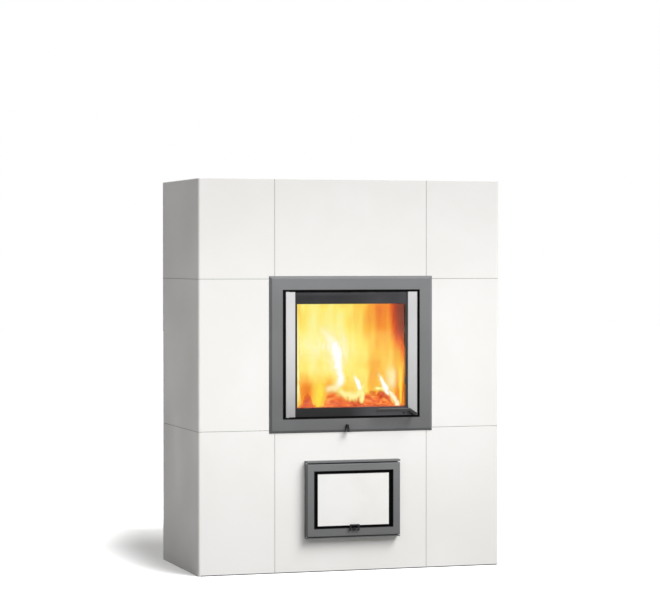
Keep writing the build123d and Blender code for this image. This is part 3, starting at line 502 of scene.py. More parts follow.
def makeGlass():
    material, tree, shader = newMaterial("ceramic_glass")
    haze = useGroup(tree, surfaceGrain, Size=0.01, Detail=3.0)
    wire(tree, shader, {
        "Base Color": (0.99, 0.98, 0.95, 1), "Transmission Weight": 1.0, "IOR": 1.2,
        "Roughness": spread(tree, haze["Patches"], 0.35, 0.75, 0.0, 0.03)})
    return material


materials["ceramic_glass"] = makeGlass()


# burning wood: charred skin with glowing edges and cracks

def makeEmberWood():
    material, tree, shader = newMaterial("burning_wood")
    place = placeOn(tree)
    stretched = put(tree, "ShaderNodeMapping", {"Vector": place, "Scale": (0.45, 1, 1)})
    cells = put(tree, "ShaderNodeTexVoronoi", {
        "Vector": stretched.outputs[0], "Scale": 62.0, "Randomness": 1.0},
        feature="DISTANCE_TO_EDGE")
    cracks = spread(tree, cells.outputs["Distance"], 0.0, 0.14, 1.0, 0.0)
    patch = clouds(tree, place, 22.0, 4.0, distortion=0.6)
    hot = spread(tree, patch, 0.36, 0.64)
    heat = plus(tree, times(tree, cracks, 0.45), times(tree, hot, 0.62))
    glow = ramp(tree, heat, [
        (0.0, rgb(196, 58, 4)), (0.22, rgb(218, 76, 6)), (0.48, rgb(236, 95, 10)),
        (0.78, rgb(246, 118, 22)), (1.0, rgb(255, 184, 76))])
    wire(tree, shader, {
        "Base Color": mixColour(tree, hot, rgb(24, 16, 14), rgb(70, 40, 30)),
        "Roughness": spread(tree, patch, 0.3, 0.7, 0.75, 0.95),
        "Emission Color": glow, "Emission Strength": 0.95,
        "Normal": bump(tree, cells.outputs["Distance"], 0.004)})
    return material


# flames: light only, thinned by noise and towards their edges

flameStops = [
    (0.0, rgb(92, 18, 4)), (0.16, rgb(172, 46, 8)), (0.3, rgb(226, 90, 10)),
    (0.45, rgb(245, 144, 22)), (0.6, rgb(252, 197, 64)), (0.74, rgb(253, 234, 108)),
    (0.88, rgb(252, 245, 156)), (1.0, rgb(255, 254, 236)),
]

# heat of the fire by place: across the curtain for the high and middle rows, and by X in
# millimetres for the veil in front of the logs
fireLook = {
    "high": [(0.25, 0.71), (0.42, 0.73), (0.54, 0.72), (0.59, 0.7), (0.63, 0.65), (0.66, 0.57),
             (0.69, 0.45), (0.75, 0.39), (0.8, 0.42), (0.87, 0.4), (0.93, 0.3), (1.0, 0.22)],
    "middle": [(0.25, 0.84), (0.44, 0.87), (0.56, 0.87), (0.63, 0.83), (0.655, 0.7),
               (0.68, 0.57), (0.73, 0.6), (0.79, 0.63), (0.87, 0.58), (0.93, 0.51),
               (1.0, 0.5)],
    "veilTop": [(-205, 0.74), (-150, 0.8), (-100, 0.76), (-45, 0.84), (2, 0.78), (35, 0.72),
                (62, 0.74), (82, 0.72), (98, 0.6), (128, 0.57), (176, 0.63), (222, 0.5)],
    "veilFoot": [(-193, 0.52), (-170, 0.46), (-154, 0.37), (-142, 0.5), (-122, 0.67),
                 (-96, 0.62), (-74, 0.5), (-34, 0.62), (50, 0.66), (78, 0.68), (98, 0.56),
                 (140, 0.54), (180, 0.6), (222, 0.38)],
    # lower edge of the veil, where the logs come into sight: (X, Z)
    "veilEdge": [(-193, 619), (-177, 640), (-167, 668), (-153, 676), (-141, 650), (-128, 618),
                 (-100, 620), (-84, 652), (-70, 680), (-47, 688), (14, 672), (62, 672),
                 (87, 676), (105, 680), (135, 684), (162, 688), (180, 668), (188, 634),
                 (200, 614)],
    # X that the veil's lists cover, Z of its lower edge, of the change to its top, of its end
    "veilSpan": (-210.0, 225.0), "edgeSpan": (600.0, 700.0), "rise": (694.0, 784.0),
    "ending": (784.0, 862.0),
}


def flicker(tree, value, place, *layers):
    # adds upright streaks: scale, pull along Z, and how far they go to either side
    for scale, pull, amount in layers:
        tall = put(tree, "ShaderNodeMapping", {"Vector": place, "Scale": (1, 1, pull)})
        waves = clouds(tree, tall.outputs[0], scale, 3.0, distortion=0.8)
        value = plus(tree, value, spread(tree, waves, 0.3, 0.7, -amount, amount))
    return value


def flowAxes(tree):
    # across and along a sheet of flame
    axes = axesOf(tree, put(tree, "ShaderNodeUVMap", uv_map="flow").outputs["UV"])
    return axes["X"], axes["Y"]


def glowBy(tree, shader, heat, stops, alpha):
    # a flame gives light and reflects none
    wire(tree, shader, {
        "Emission Color": ramp(tree, heat, stops), "Emission Strength": 1.0, "Alpha": alpha,
        "Base Color": grey(0.0), "Specular IOR Level": 0.0})


def makeBlaze():
    # the curtain of flame; heat falls along its width towards the right wall
    material, tree, shader = newMaterial("blaze")
    place = placeOn(tree)
    across, up = flowAxes(tree)
    middle = profile(tree, across, 0.0, 1.0, fireLook["middle"])
    high = profile(tree, across, 0.0, 1.0, fireLook["high"])
    bed = mixColour(tree, spread(tree, up, 0.5, 0.98), middle, high)
    heat = flicker(tree, bed, place, (17.0, 0.3, 0.055), (8.0, 1.0, 0.03), (52.0, 0.22, 0.035))
    heat = plus(tree, heat, spread(tree, up, 0.0, 0.3, -0.14, 0.0))
    # right wall shows dark through the thin end, upper right
    edge = flicker(tree, across, place, (17.0, 0.3, 0.008))
    cool = plus(tree, edge, spread(tree, up, 0.25, 0.75, -0.06, 0.08))
    heat = plus(tree, heat, spread(tree, cool, 0.95, 1.0, 0.0, -0.14))
    bare = plus(tree, edge, spread(tree, up, 0.3, 0.78, -0.07, 0.08))
    thin = spread(tree, bare, 0.99, 1.03, 1.0, 0.22)
    top = spread(tree, up, 0.985, 1.0, 1.0, 0.0)
    glowBy(tree, shader, heat, flameStops, times(tree, thin, top))
    return material


def makeVeilMaterial():
    # the veil of flame in front of the logs
    material, tree, shader = newMaterial("veil")
    place = placeOn(tree)
    axes = axesOf(tree, place)
    x, z = times(tree, axes["X"], 1000.0), times(tree, axes["Z"], 1000.0)
    span = fireLook["veilSpan"]
    foot = profile(tree, x, *span, fireLook["veilFoot"])
    top = profile(tree, x, *span, fireLook["veilTop"])
    bed = mixColour(tree, spread(tree, z, *fireLook["rise"]), foot, top)
    heat = flicker(tree, bed, place, (26.0, 0.35, 0.05), (70.0, 0.3, 0.035))
    low, high = fireLook["edgeSpan"]
    edge = profile(tree, x, *span, [(side, (level - low) / (high - low))
                                    for side, level in fireLook["veilEdge"]])
    over = minus(tree, z, math2(tree, "MULTIPLY_ADD", edge, high - low, low))
    begun = spread(tree, flicker(tree, over, place, (60.0, 0.7, 5.0)), -7.0, 9.0)
    ended = spread(tree, z, *fireLook["ending"], 1.0, 0.0)
    glowBy(tree, shader, heat, flameStops, times(tree, begun, ended))
    return material


# tongues: colour from thin edge to thick middle, how solid they are, and how long they fade
lickLook = {
    "white_flame": {"stops": [(0.0, rgb(253, 224, 110)), (0.25, rgb(254, 240, 160)),
                              (0.55, rgb(255, 250, 214)), (1.0, (1, 1, 1, 1))],
                    "solid": 1.15, "foot": 0.22, "tip": 0.38},
    "pale_flame": {"stops": [(0.0, rgb(252, 206, 84)), (0.45, rgb(252, 230, 120)),
                             (1.0, rgb(253, 243, 160))],
                   "solid": 1.05, "foot": 0.28, "tip": 0.35},
    "faint_flame": {"stops": [(0.0, rgb(252, 232, 130)), (1.0, rgb(254, 247, 196))],
                    "solid": 0.7, "foot": 0.35, "tip": 0.5},
    "warm_flame": {"stops": [(0.0, rgb(252, 178, 70)), (0.5, rgb(254, 222, 150)),
                             (1.0, rgb(255, 240, 206))],
                   "solid": 1.1, "foot": 0.2, "tip": 0.3},
    "yellow_flame": {"stops": [(0.0, rgb(250, 190, 42)), (0.5, rgb(253, 210, 48)),
                               (1.0, rgb(253, 222, 62))],
                     "solid": 0.95, "foot": 0.06, "tip": 0.5},
}


def makeLick(name, look):
    # a tongue of flame, soft at its sides and thin at its ends
    material, tree, shader = newMaterial(name)
    across, along = flowAxes(tree)
    side = math2(tree, "ABSOLUTE", math2(tree, "MULTIPLY_ADD", across, 2.0, -1.0))
    ragged = flicker(tree, side, placeOn(tree), (48.0, 0.45, 0.14), (120.0, 0.35, 0.1))
    soft = spread(tree, ragged, 0.05, 0.88, 1.0, 0.0)
    ends = times(tree, spread(tree, along, 0.0, look["foot"]),
                 spread(tree, along, 1.0 - look["tip"], 1.0, 1.0, 0.0))
    body = times(tree, soft, ends)
    glowBy(tree, shader, body, look["stops"], held(tree, times(tree, body, look["solid"])))
    return material


licks = {name: makeLick(name, look) for name, look in lickLook.items()}
veil = makeVeilMaterial()
emberWood = makeEmberWood()
blaze = makeBlaze()
materials["firewood"] = emberWood
print("materials made:", len(bpy.data.materials))


# every part of the frame gets its finish

ownFinish = {
    "door_handle": "handle_black", "air_lever": "lever_black", "trim_frame": "trim_enamel",
    "door_strip_right": "aluminium_shaded", "hatch_carrier": "carrier_shadow_black",
    "hatch_leaf": "leaf_enamel", "hatch_tile": "tile_white",
}


def dressParts():
    for row in frame["record"]["subparts"]:
        finish = ownFinish.get(row["node"], row["material_slot"])
        for holder in nodes[row["node"]].material_slots:
            holder.material = materials[finish]


dressParts()


# new pieces

def keepPiece(name, mesh, body):
    piece = bpy.data.objects.new(name, mesh)
    scene.collection.objects.link(piece)
    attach(piece, body)
    return piece


def addPiece(name, mesh, material, body):
    result = takeMesh(name, mesh)
    result.materials.append(material)
    return keepPiece(name, result, body)


def smoothMesh(mesh):
    for face in mesh.polygons:
        face.use_smooth = True


def takeMesh(name, mesh):
    # the finished mesh, and the working one let go
    result = bpy.data.meshes.new(name)
    mesh.to_mesh(result)
    mesh.free()
    return result


def joinLoops(mesh, pairs):
    # faces between one ring of points and the next
    for first, second in pairs:
        count = len(first)
        for side in range(count):
            following = (side + 1) % count
            mesh.faces.new((first[side], first[following], second[following], second[side]))


def newTree(name, sizes):
    # a geometry tree that takes a mesh, named sizes and a finish
    inputs = [("Geometry", "Geometry"), *sizes, ("Material", "Material")]
    return newGroup(name, inputs, [("Geometry", "Geometry")], "GeometryNodeTree")


def endTree(tree, given, shape):
    whole = put(tree, "GeometryNodeRealizeInstances", {"Geometry": shape})
    finished = put(tree, "GeometryNodeSetMaterial", {
        "Geometry": whole.outputs[0], "Material": given["Material"]})
    return endGroup(tree, {"Geometry": finished.outputs[0]})


def grow(name, mesh, tree, values):
    # runs the tree on a mesh and keeps the plain result
    holder = bpy.data.objects.new(name + "_path", takeMesh(name + "_path", mesh))
    scene.collection.objects.link(holder)
    modifier = holder.modifiers.new("grow", "NODES")
    modifier.node_group = tree
    sockets = {item.name: item.identifier for item in tree.interface.items_tree
               if item.item_type == "SOCKET" and item.in_out == "INPUT"}
    for label, value in values.items():
        modifier[sockets[label]] = value
    bpy.context.view_layer.update()
    graph = bpy.context.evaluated_depsgraph_get()
    result = bpy.data.meshes.new_from_object(holder.evaluated_get(graph))
    result.name = name
    bpy.data.objects.remove(holder)
    return result


jointLook = {
    "levels": (544.5, 1120.5), "side": 606.0, "middle": 305.5, "rear": 557.0, "wall": 50.0,
    "arris": 9.0, "sunk": 1.25, "bead": 1.05, "rearSunk": 0.6, "top": 1500.0,
    "footSunk": 0.8, "footBead": 0.8, "frontSunk": 0.5, "frontBead": 1.7,
}


def makeBeadTree():
    tree, given = newTree("joint bead", [("Radius", "Float", 0.001)])
    curve = put(tree, "GeometryNodeMeshToCurve", {"Mesh": given["Geometry"]})
    section = put(tree, "GeometryNodeCurvePrimitiveCircle", {
        "Resolution": 8, "Radius": given["Radius"]})
    swept = put(tree, "GeometryNodeCurveToMesh", {
        "Curve": curve.outputs[0], "Profile Curve": section.outputs[0], "Fill Caps": True})
    return endTree(tree, given, swept.outputs[0])


def sweepBeads(name, runs, radius, finish):
    # one bead along each run of points
    mesh = bmesh.new()
    for points in runs:
        made = [mesh.verts.new(at(*point)) for point in points]
        for first, second in zip(made, made[1:]):
            mesh.edges.new((first, second))
    beads = grow(name, mesh, beadTree, {"Radius": radius / 1000, "Material": materials[finish]})
    smoothMesh(beads)
    keepPiece(name, beads, "root")


def jointRound(side, z, inner, sunk):
    # from the rear along one side, round the corner and along the front
    look = jointLook
    bend = look["arris"] - sunk
    arc = [(side * (look["side"] - look["arris"] + bend * math.cos(turn)),
            look["arris"] - bend * math.sin(turn), z)
           for turn in (math.radians(15 * step) for step in range(7))]
    return [(side * (look["side"] - sunk), look["rear"], z), *arc, (side * inner, sunk, z)]


def makeJoints():
    # compound in the grooves between the blocks
    look = jointLook
    sunk, low, high = look["sunk"], *look["levels"]
    runs = [jointRound(side, z, look["middle"], sunk) for z in look["levels"]
            for side in (-1, 1)]
    for side in (-1, 1):
        x = side * look["middle"]
        runs += [[(x, sunk, 0.0), (x, sunk, low)], [(x, sunk, high), (x, sunk, look["top"])]]
    # pointing between the rear blocks, a hair proud
    inside, rear = look["side"] - look["wall"], look["rear"] - look["rearSunk"]
    runs += [[(-inside, rear, z), (inside, rear, z)] for z in look["levels"]]
    runs += [[(side * inside, rear, 0.0), (side * inside, rear, look["top"])] for side in (-1, 1)]
    sweepBeads("joint_compound", runs, look["bead"], "joint_compound")
    # painted contact shadow: dark strips between the bottom row and the floor, along the sides and
    # the front's foot, where there is only shade
    foot = [jointRound(side, look["footBead"], 0.0, look["footSunk"]) for side in (-1, 1)]
    sweepBeads("contact_shadow_strip", foot, look["footBead"], "contact_shadow_strip")
    end = look["side"] - look["arris"]
    sweepBeads("front_contact_shadow_strip", [[(x, look["frontSunk"], look["frontBead"]) for x in (-end, end)]],
               look["frontBead"], "contact_shadow_strip")


beadTree = makeBeadTree()
makeJoints()
print("joints filled")


# woven tape that the glass rests on; it stands back from the window's edge

tapeLook = {
    "window": (218.5, 628.0, 1024.5), "lap": (4.6, 7.6), "depth": (3.0, 6.0),
    "weave": 2.4, "relief": 0.25,
}


def makeTape():
    half, low, high = tapeLook["window"]
    near, far = tapeLook["lap"]
    front, back = tapeLook["depth"]
    corners = [(-half, low), (half, low), (half, high), (-half, high)]
    outward = [(-1, -1), (1, -1), (1, 1), (-1, 1)]
    section = [(near, front), (far, front), (far, back), (near, back)]
    mesh = bmesh.new()
    loops = []
    for index in range(4):
        (x, z), (outX, outZ) = corners[index], outward[index]
        (nextX, nextZ), (nextOutX, nextOutZ) = corners[(index + 1) % 4], outward[(index + 1) % 4]
        length = math.hypot(nextX - x, nextZ - z)
        steps = int(length / tapeLook["weave"])
        for step in range(steps):
            share = step / steps
            lift = tapeLook["relief"] * (step % 2) * (1 if step else 0)
            loop = []
            for wide, deep in section:
                px = x + (nextX - x) * share + wide * (outX + (nextOutX - outX) * share)
                pz = z + (nextZ - z) * share + wide * (outZ + (nextOutZ - outZ) * share)
                bulge = lift if deep == back else 0.0
                loop.append(mesh.verts.new(at(px, deep - bulge, pz)))
            loops.append(loop)
    joinLoops(mesh, zip(loops, loops[1:] + loops[:1]))
    bmesh.ops.recalc_face_normals(mesh, faces=mesh.faces)
    tape = addPiece("gasket_tape", mesh, materials["rope"], "door")
    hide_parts("glass_gasket")


makeTape()


# socket screws at the ends of the door's bottom rail

screwLook = {"radius": 3.5, "head": 1.5, "socket": 1.9, "depth": 1.1, "flank": 0.86,
             "side": 211.0, "height": 603.0, "seat": -6.0}


def makeScrewTree():
    tree, given = newTree("socket screws", [
        ("Radius", "Float", 0.0035), ("Head", "Float", 0.0015), ("Socket", "Float", 0.0019),
        ("Depth", "Float", 0.0011), ("Flank", "Float", 0.86)])
    head = put(tree, "GeometryNodeMeshCone", {
        "Vertices": 40, "Radius Bottom": given["Radius"], "Depth": given["Head"],
        "Radius Top": times(tree, given["Radius"], given["Flank"])})
    key = put(tree, "GeometryNodeMeshCylinder", {
        "Vertices": 6, "Radius": given["Socket"], "Depth": times(tree, given["Depth"], 2.0)})
    lift = put(tree, "ShaderNodeCombineXYZ", {"Z": given["Head"]})
    placed = put(tree, "GeometryNodeTransform", {
        "Geometry": key.outputs["Mesh"], "Translation": lift.outputs[0]})
    cut = put(tree, "GeometryNodeMeshBoolean", {
        "Mesh 1": head.outputs["Mesh"], "Mesh 2": placed.outputs[0]}, operation="DIFFERENCE")
    points = put(tree, "GeometryNodeMeshToPoints", {"Mesh": given["Geometry"]})
    heads = put(tree, "GeometryNodeInstanceOnPoints", {
        "Points": points.outputs[0], "Instance": cut.outputs["Mesh"],
        "Rotation": (math.radians(90), 0, 0)})
    return endTree(tree, given, heads.outputs[0])


def makeScrews():
    look = screwLook
    mesh = bmesh.new()
    for side in (-1, 1):
        mesh.verts.new(at(side * look["side"], look["seat"], look["height"]))
    heads = grow("rail_screws", mesh, makeScrewTree(), {
        "Radius": look["radius"] / 1000, "Head": look["head"] / 1000,
        "Socket": look["socket"] / 1000, "Depth": look["depth"] / 1000,
        "Flank": look["flank"], "Material": materials["black_sheet"]})
    screws = keepPiece("rail_screws", heads, "door")
    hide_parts("door_screws")


makeScrews()


# braided rope that seals the door against the firebox

sealLook = {"half": 232.5, "low": 614.0, "high": 1038.5, "corner": 9.0, "depth": 20.0,
            "radius": 3.1, "pitch": 7.0, "relief": 0.6, "strands": 3}


def makeRopeTree():
    tree, given = newTree("braided rope", [
        ("Radius", "Float", 0.003), ("Pitch", "Float", 0.007), ("Relief", "Float", 0.0006),
        ("Strands", "Int", 3)])
    curve = put(tree, "GeometryNodeMeshToCurve", {"Mesh": given["Geometry"]})
    steps = put(tree, "GeometryNodeResampleCurve", {
        "Curve": curve.outputs[0], "Length": divide(tree, given["Pitch"], 5.0)}, mode="LENGTH")
    spot = put(tree, "GeometryNodeSplineParameter")
    along = put(tree, "GeometryNodeStoreNamedAttribute", {
        "Geometry": steps.outputs[0], "Name": "along", "Value": spot.outputs["Length"]},
        data_type="FLOAT", domain="POINT")
    ring = put(tree, "GeometryNodeCurvePrimitiveCircle", {
        "Resolution": 18, "Radius": given["Radius"]})
    turn = put(tree, "GeometryNodeSplineParameter")
    around = put(tree, "GeometryNodeStoreNamedAttribute", {
        "Geometry": ring.outputs[0], "Name": "around", "Value": turn.outputs["Factor"]},
        data_type="FLOAT", domain="POINT")
    swept = put(tree, "GeometryNodeCurveToMesh", {
        "Curve": along.outputs[0], "Profile Curve": around.outputs[0]})
    # two families of strands that cross each other
    place = put(tree, "GeometryNodeInputNamedAttribute", {"Name": "along"}, data_type="FLOAT")
    angle = put(tree, "GeometryNodeInputNamedAttribute", {"Name": "around"}, data_type="FLOAT")
    run = divide(tree, place.outputs["Attribute"], given["Pitch"])
    spin = times(tree, angle.outputs["Attribute"], given["Strands"])
    waves = []
    for join in (plus, minus):
        phase = times(tree, join(tree, run, spin), math.pi)
        waves.append(math2(tree, "ABSOLUTE", math2(tree, "SINE", phase)))
    height = times(tree, math2(tree, "MAXIMUM", *waves), given["Relief"])
    push = put(tree, "ShaderNodeVectorMath", {
        "Vector": put(tree, "GeometryNodeInputNormal").outputs[0], "Scale": height},
        operation="SCALE")
    shaped = put(tree, "GeometryNodeSetPosition", {
        "Geometry": swept.outputs[0], "Offset": push.outputs[0]})
    return endTree(tree, given, shaped.outputs[0])


def makeSeal():
    look = sealLook
    half, bend = look["half"] - look["corner"], look["corner"]
    low, high = look["low"] + bend, look["high"] - bend
    middles = [(half, low, -90), (half, high, 0), (-half, high, 90), (-half, low, 180)]
    mesh = bmesh.new()
    ring = []
    for x, z, start in middles:
        for step in range(7):
            turn = math.radians(start + 15 * step)
            ring.append(mesh.verts.new(at(x + bend * math.cos(turn), look["depth"],
                                          z + bend * math.sin(turn))))
    for first, second in zip(ring, ring[1:] + ring[:1]):
        mesh.edges.new((first, second))
    rope = grow("sealing_rope", mesh, makeRopeTree(), {
        "Radius": look["radius"] / 1000, "Pitch": look["pitch"] / 1000,
        "Relief": look["relief"] / 1000, "Strands": look["strands"],
        "Material": materials["rope"]})
    smoothMesh(rope)
    seal = keepPiece("sealing_rope", rope, "door")
    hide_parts("door_seal")


makeSeal()
print("door's small parts made")


# split logs on the grate

logLook = {
    "radius": 38.0, "length": 330.0, "rings": 54, "sides": 36, "ridge": 2.6, "knots": 4.0,
    "worn": 2.0, "bevel": 9.0,
    # middle (x, t), foot height, turn in degrees, shares of the full thickness and length
    "logs": [
        (-15.2, 105.3, 628.5, 4, 1.0, 1.0),
        (11.4, 200.3, 628.5, -5, 1.0, 1.0),
        (0.0, 152.8, 666.9, 12, 0.9, 0.9),
    ],
}


def logSkin(angle, along, radius, seed):
    # split log: flat below, rounded above, with lengthwise ridges
    rise = max(0.0, math.sin(angle))
    size = radius * (1 - 0.04 * math.cos(3 * angle + seed))
    ridge = noise.noise(Vector((along * 0.008, angle * 3.2, seed * 7.1)))
    swell = noise.noise(Vector((along * 0.018, angle * 0.8, seed * 3.3)))
    lift = ridge * logLook["ridge"] + swell * logLook["knots"] - logLook["worn"]
    return math.cos(angle) * size, max(0.0, rise * (size + lift))


def makeLogs():
    mesh = bmesh.new()
    rings, sides = logLook["rings"], logLook["sides"]
    for seed, (x, t, z, turn, thick, long) in enumerate(logLook["logs"]):
        radius = logLook["radius"] * thick
        half = logLook["length"] * long / 2
        turned = Matrix.Rotation(math.radians(turn), 3, "Z")
        middle = at(x, t, z)
        loops = []
        for ring in range(rings + 1):
            along = -half + 2 * half * ring / rings
            inset = 0.86 + 0.14 * min(1.0, (half - abs(along)) / logLook["bevel"]) ** 0.5
            loop = []
            for side in range(sides):
                angle = 2 * math.pi * side / sides
                across, high = logSkin(angle, along, radius * inset, seed + 1.0)
                local = Vector((along, across, high)) / 1000
                loop.append(mesh.verts.new(middle + turned @ local))
            loops.append(loop)
        joinLoops(mesh, zip(loops, loops[1:]))
        mesh.faces.new(loops[0])
        mesh.faces.new(loops[-1])
    bmesh.ops.remove_doubles(mesh, verts=mesh.verts, dist=1e-6)
    bmesh.ops.dissolve_degenerate(mesh, dist=1e-6, edges=mesh.edges)
    bmesh.ops.recalc_face_normals(mesh, faces=mesh.faces)
    logs = addPiece("burning_logs", mesh, emberWood, "root")
    smoothMesh(logs.data)
    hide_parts("firewood_logs")


makeLogs()


# embers strewn over the hearth

emberLook = {
    "low": (-196, 46), "high": (196, 300), "height": 629.0, "count": 260, "size": 5.5,
    "seed": 7, "broken": (0.0012, 400), "heapBroken": (0.0035, 90),
    # heap of charcoal at the right: place (x, t, z) and size
    "heap": [(158, 86, 650, 17), (172, 84, 643, 15), (166, 90, 668, 14), (148, 88, 673, 13),
             (178, 82, 636, 12), (186, 86, 638, 9), (176, 104, 656, 16)],
}


def addLump(mesh, shape, size, fineness, broken):
    reach, grain = broken
    made = bmesh.ops.create_icosphere(mesh, subdivisions=fineness, radius=size / 1000, matrix=shape)
    for corner in made["verts"]:
        corner.co += reach * noise.noise_vector(corner.co * grain)


def makeEmbers():
    draw = random.Random(emberLook["seed"])
    mesh = bmesh.new()
    lowX, lowT = emberLook["low"]
    highX, highT = emberLook["high"]
    for _ in range(emberLook["count"]):
        size = emberLook["size"] * draw.uniform(0.5, 1.6)
        spot = at(draw.uniform(lowX, highX), draw.uniform(lowT, highT),
                  emberLook["height"] + size * 0.45)
        shape = Matrix.LocRotScale(
            spot, Matrix.Rotation(draw.uniform(0, math.tau), 3, "Z").to_quaternion(),
            Vector((draw.uniform(0.8, 1.5), draw.uniform(0.7, 1.2), 0.6)))
        addLump(mesh, shape, size, 1, emberLook["broken"])
    for x, t, z, size in emberLook["heap"]:
        shape = Matrix.LocRotScale(
            at(x, t, z), Matrix.Rotation(draw.uniform(0, math.tau), 3, "Y").to_quaternion(),
            Vector((draw.uniform(0.95, 1.25), draw.uniform(0.8, 1.0), 0.85)))
        addLump(mesh, shape, size, 3, emberLook["heapBroken"])
    addPiece("ember_bed", mesh, emberWood, "root")


makeEmbers()


# flames

curtainLook = {
    "path": [(-216, 70), (-214, 190), (-198, 290), (-120, 340), (-20, 358), (90, 356),
             (178, 338), (210, 280), (219, 170), (224.5, 12)],
    "low": 630.0, "high": 1028.0, "columns": 120, "rows": 60, "wave": 7.0, "waves": (9, 2.4, 1.7),
    # X at which the sheet stays still, and over how much it calms down
    "still": 224.0, "calm": 12.0,
}


def alongPath(points, share):
    # a smooth line through the points
    place = share * (len(points) - 1)
    index = min(int(place), len(points) - 2)
    rest = place - index
    last = len(points) - 1
    a, b, c, d = (Vector(points[max(0, min(last, index + step))]) for step in (-1, 0, 1, 2))
    return 0.5 * ((2 * b) + (c - a) * rest + (2 * a - 5 * b + 4 * c - d) * rest ** 2
                  + (3 * b - a - 3 * c + d) * rest ** 3)


def flowSheet(name, columns, rows, pointAt, material):
    # a sheet of flame with its own map: x across, y along
    mesh = bmesh.new()
    flow = mesh.loops.layers.uv.new("flow")
    grid = [[mesh.verts.new(pointAt(column / columns, row / rows))
             for column in range(columns + 1)] for row in range(rows + 1)]
    for row in range(rows):
        for column in range(columns):
            corners = [(row, column), (row, column + 1), (row + 1, column + 1),
                       (row + 1, column)]
            face = mesh.faces.new([grid[r][c] for r, c in corners])
            face.smooth = True
            for loop, (r, c) in zip(face.loops, corners):
                loop[flow].uv = (c / columns, r / rows)
    addPiece(name, mesh, material, "root")


def makeCurtain():
    look = curtainLook
    wide, tall, seed = look["waves"]

    def pointAt(across, up):
        x, t = alongPath(look["path"], across)
        z = look["low"] + up * (look["high"] - look["low"])
        sway = noise.noise_vector(Vector((across * wide, up * tall, seed))) * look["wave"]
        inside = max(0.0, min(1.0, (look["still"] - abs(x)) / look["calm"]))
        return at(x + sway.x * inside, t + sway.y, z)
    flowSheet("flame_curtain", look["columns"], look["rows"], pointAt, blaze)


makeCurtain()

veilLook = {"left": -206.0, "right": 222.0, "low": 612.0, "high": 864.0, "depth": 57.0,
            "wave": 3.0, "waves": (11, 3, 4.2), "columns": 90, "rows": 40}


def makeVeil():
    look = veilLook
    wide, tall, seed = look["waves"]

    def pointAt(across, up):
        x = look["left"] + across * (look["right"] - look["left"])
        z = look["low"] + up * (look["high"] - look["low"])
        sway = noise.noise(Vector((across * wide, up * tall, seed))) * look["wave"]
        return at(x, look["depth"] + sway, z)
    flowSheet("flame_veil", look["columns"], look["rows"], pointAt, veil)


makeVeil()

# name, finish, depth, then points (x, z, half width) from the foot to the tip
tongueLook = [
    ("tall", "white_flame", 50, [(-66, 680, 14), (-50, 694, 24), (-38, 712, 30), (-32, 736, 33),
        (-37, 768, 38), (-42, 802, 44), (-47, 836, 50), (-60, 866, 46), (-79, 893, 37),
        (-99, 920, 27), (-118, 948, 18), (-132, 990, 11)]),
    ("glow", "faint_flame", 55, [(-52, 700, 26), (-46, 760, 44), (-52, 820, 58), (-68, 880, 58),
        (-92, 935, 42), (-112, 985, 24)]),
    ("lobe", "faint_flame", 48, [(-8, 778, 18), (-12, 819, 30), (-17, 862, 34), (-24, 904, 28),
        (-34, 944, 16)]),
    ("bowl", "pale_flame", 48, [(-66, 710, 18), (-46, 697, 27), (-24, 682, 33), (4, 672, 36),
        (28, 669, 33), (48, 683, 28), (59, 704, 23), (63, 730, 18), (61, 766, 11)]),
    ("small", "white_flame", 45, [(54, 666, 10), (49, 690, 16), (41, 714, 19), (29, 738, 16),
        (12, 764, 8)]),
    ("foot", "pale_flame", 46, [(56, 634, 8), (56, 654, 17), (57, 680, 21), (60, 714, 14)]),
    ("shelf", "faint_flame", 46, [(-118, 692, 12), (-88, 697, 24), (-60, 701, 29), (-36, 710, 26),
        (-20, 728, 14)]),
    ("right", "white_flame", 44, [(174, 662, 10), (160, 684, 19), (145, 710, 20), (132, 738, 15),
        (118, 768, 7)]),
    ("rightShelf", "pale_flame", 46, [(96, 697, 6), (118, 697, 12), (142, 694, 16), (166, 684, 12),
        (178, 674, 6)]),
    ("column", "faint_flame", 52, [(172, 676, 28), (176, 706, 42), (178, 742, 46), (178, 776, 42),
        (177, 814, 24)]),
    ("streak", "warm_flame", 40, [(158, 696, 8), (175, 674, 16), (190, 651, 21), (200, 631, 20),
        (208, 608, 13)]),
    ("edge", "pale_flame", 40, [(-204, 600, 12), (-203, 650, 18), (-202, 720, 13), (-203, 800, 12),
        (-204, 900, 12), (-205, 1010, 10), (-205, 1060, 8)]),
    ("yellow", "yellow_flame", 44, [(-124, 612, 18), (-123, 650, 30), (-118, 688, 42),
        (-118, 732, 42), (-118, 800, 28)]),
    ("gold", "yellow_flame", 60, [(222, 630, 12), (222, 690, 20), (219, 740, 26), (212, 800, 26),
        (202, 880, 14)]),
]

sheetLook = {"columns": 10, "rows": 48, "belly": 0.35, "step": 0.02}


def makeTongue(name, material, depth, points):
    look = sheetLook

    def pointAt(across, up):
        x, z, half = alongPath(points, up)
        ahead = (alongPath(points, min(1.0, up + look["step"]))
                 - alongPath(points, max(0.0, up - look["step"])))
        side = 2 * across - 1
        offset = Vector((ahead.y, -ahead.x)).normalized() * half * side
        return at(x + offset.x, depth - look["belly"] * half * (1 - side ** 2), z + offset.y)
    flowSheet("flame_" + name, look["columns"], look["rows"], pointAt, material)


for label, kind, depth, points in tongueLook:
    makeTongue(label, licks[kind], depth, points)
print("fire made")


# floor and light

lightLook = {
    "sun": 2.72, "sunSoft": 33.0, "sunSide": 36.0, "sunHigh": 50.0,
    "fill": 9.8, "fillPlace": (0.1, -1.4, 0.86), "fillSize": (3.2, 0.4),
    # how far the floor's shadow reaches, where it dies out, and where it ends behind
    "fadeReach": (0.74, 2.2), "fade": (0.82, 1.25), "fadeBehind": (1.25, 1.8),
    "world": 0.275, "floorBounce": 0.235, "floorSeen": 0.9, "floorLift": 0.22, "floorFar": 0.9,
}


